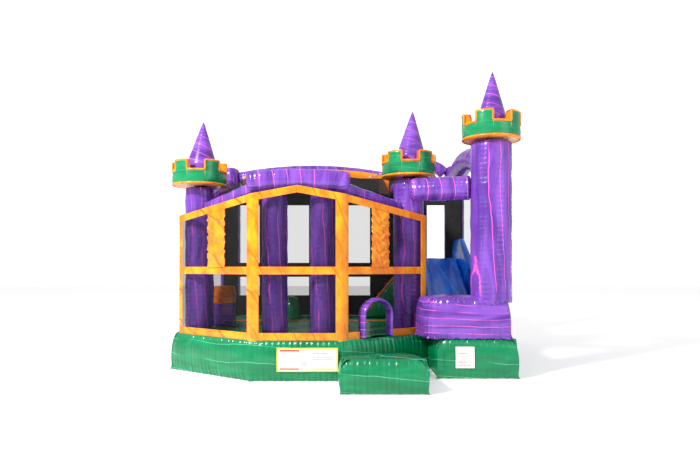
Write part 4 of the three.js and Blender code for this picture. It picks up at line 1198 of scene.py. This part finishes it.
def add_sleeve():
    """The air sleeve: slack cloth, gathered where it is strapped round the blower's nozzle."""
    y = np.linspace(SLEEVE_START, SLEEVE_END, 70)
    angle = np.linspace(0, TURN, 96, endpoint=False)
    held = near(y - SLEEVE_START, 0.05) + near(SLEEVE_END - y, 0.05)
    folds = 0.0035 * held[:, None] * ripples(angle * SLEEVE_RADIUS, 0.045, 3)[None]
    rings = 0.003 * ripples(y[:, None] + 0.02 * np.sin(2 * angle)[None], 0.09, 1)
    radii = SLEEVE_RADIUS + folds + rings * (1 - np.clip(held, 0, 1))[:, None]
    points = np.stack([BLOWER_X + radii * np.cos(angle), np.broadcast_to(y[:, None], radii.shape),
                       AIR_Z + radii * np.sin(angle)], -1)
    skin = Skin()
    skin.grid(points, closed=True)
    sleeve = skin.build("inflation_sleeve", ["amber"], ["inflation_sleeve"])
    strap = Skin()
    y = np.linspace(2.835, 2.865, 6)
    radius = SLEEVE_RADIUS + 0.0062 + 0.0008 * np.cos(np.linspace(-1, 1, 6) * 2)
    strap.grid(np.stack([BLOWER_X + radius[:, None] * np.cos(angle), np.broadcast_to(y[:, None], (6, 96)),
                         AIR_Z + radius[:, None] * np.sin(angle)], -1), closed=True)
    band = strap.build("sleeve_strap", ["webbing"])
    band.modifiers.new("thickness", "SOLIDIFY").thickness = 0.002


def finish_cad_node(name, material, bevel):
    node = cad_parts[name]
    node.data.materials.clear()
    node.data.materials.append(MATERIALS[material])
    edge = node.modifiers.new("soft_edges", "BEVEL")
    edge.width = bevel
    edge.segments = 2
    edge.limit_method = "ANGLE"
    edge.angle_limit = math.radians(35)
    node.modifiers.new("even_shading", "WEIGHTED_NORMAL")


def add_fittings():
    add_anchor("left", -2.15)
    add_anchor("right", 2.08)
    add_zip()
    add_sleeve()
    for name, material, bevel in (
            ("d_ring_left", "steel", 0.0016), ("d_ring_right", "steel", 0.0016),
            ("zip_slider", "steel", 0.0008),
            ("blower_housing", "blower_shell", 0.004), ("blower_motor", "motor", 0.002),
            ("blower_impeller", "black_plastic", 0.001), ("blower_switch", "black_plastic", 0.001)):
        finish_cad_node(name, material, bevel)


# ---------- Build ----------

add_camera()
add_studio()
add_base()
add_towers()
add_columns_and_beams()
add_bay()
add_other_walls()
add_slide()
add_play_pieces()
add_labels()
add_tie_rope()
add_fittings()
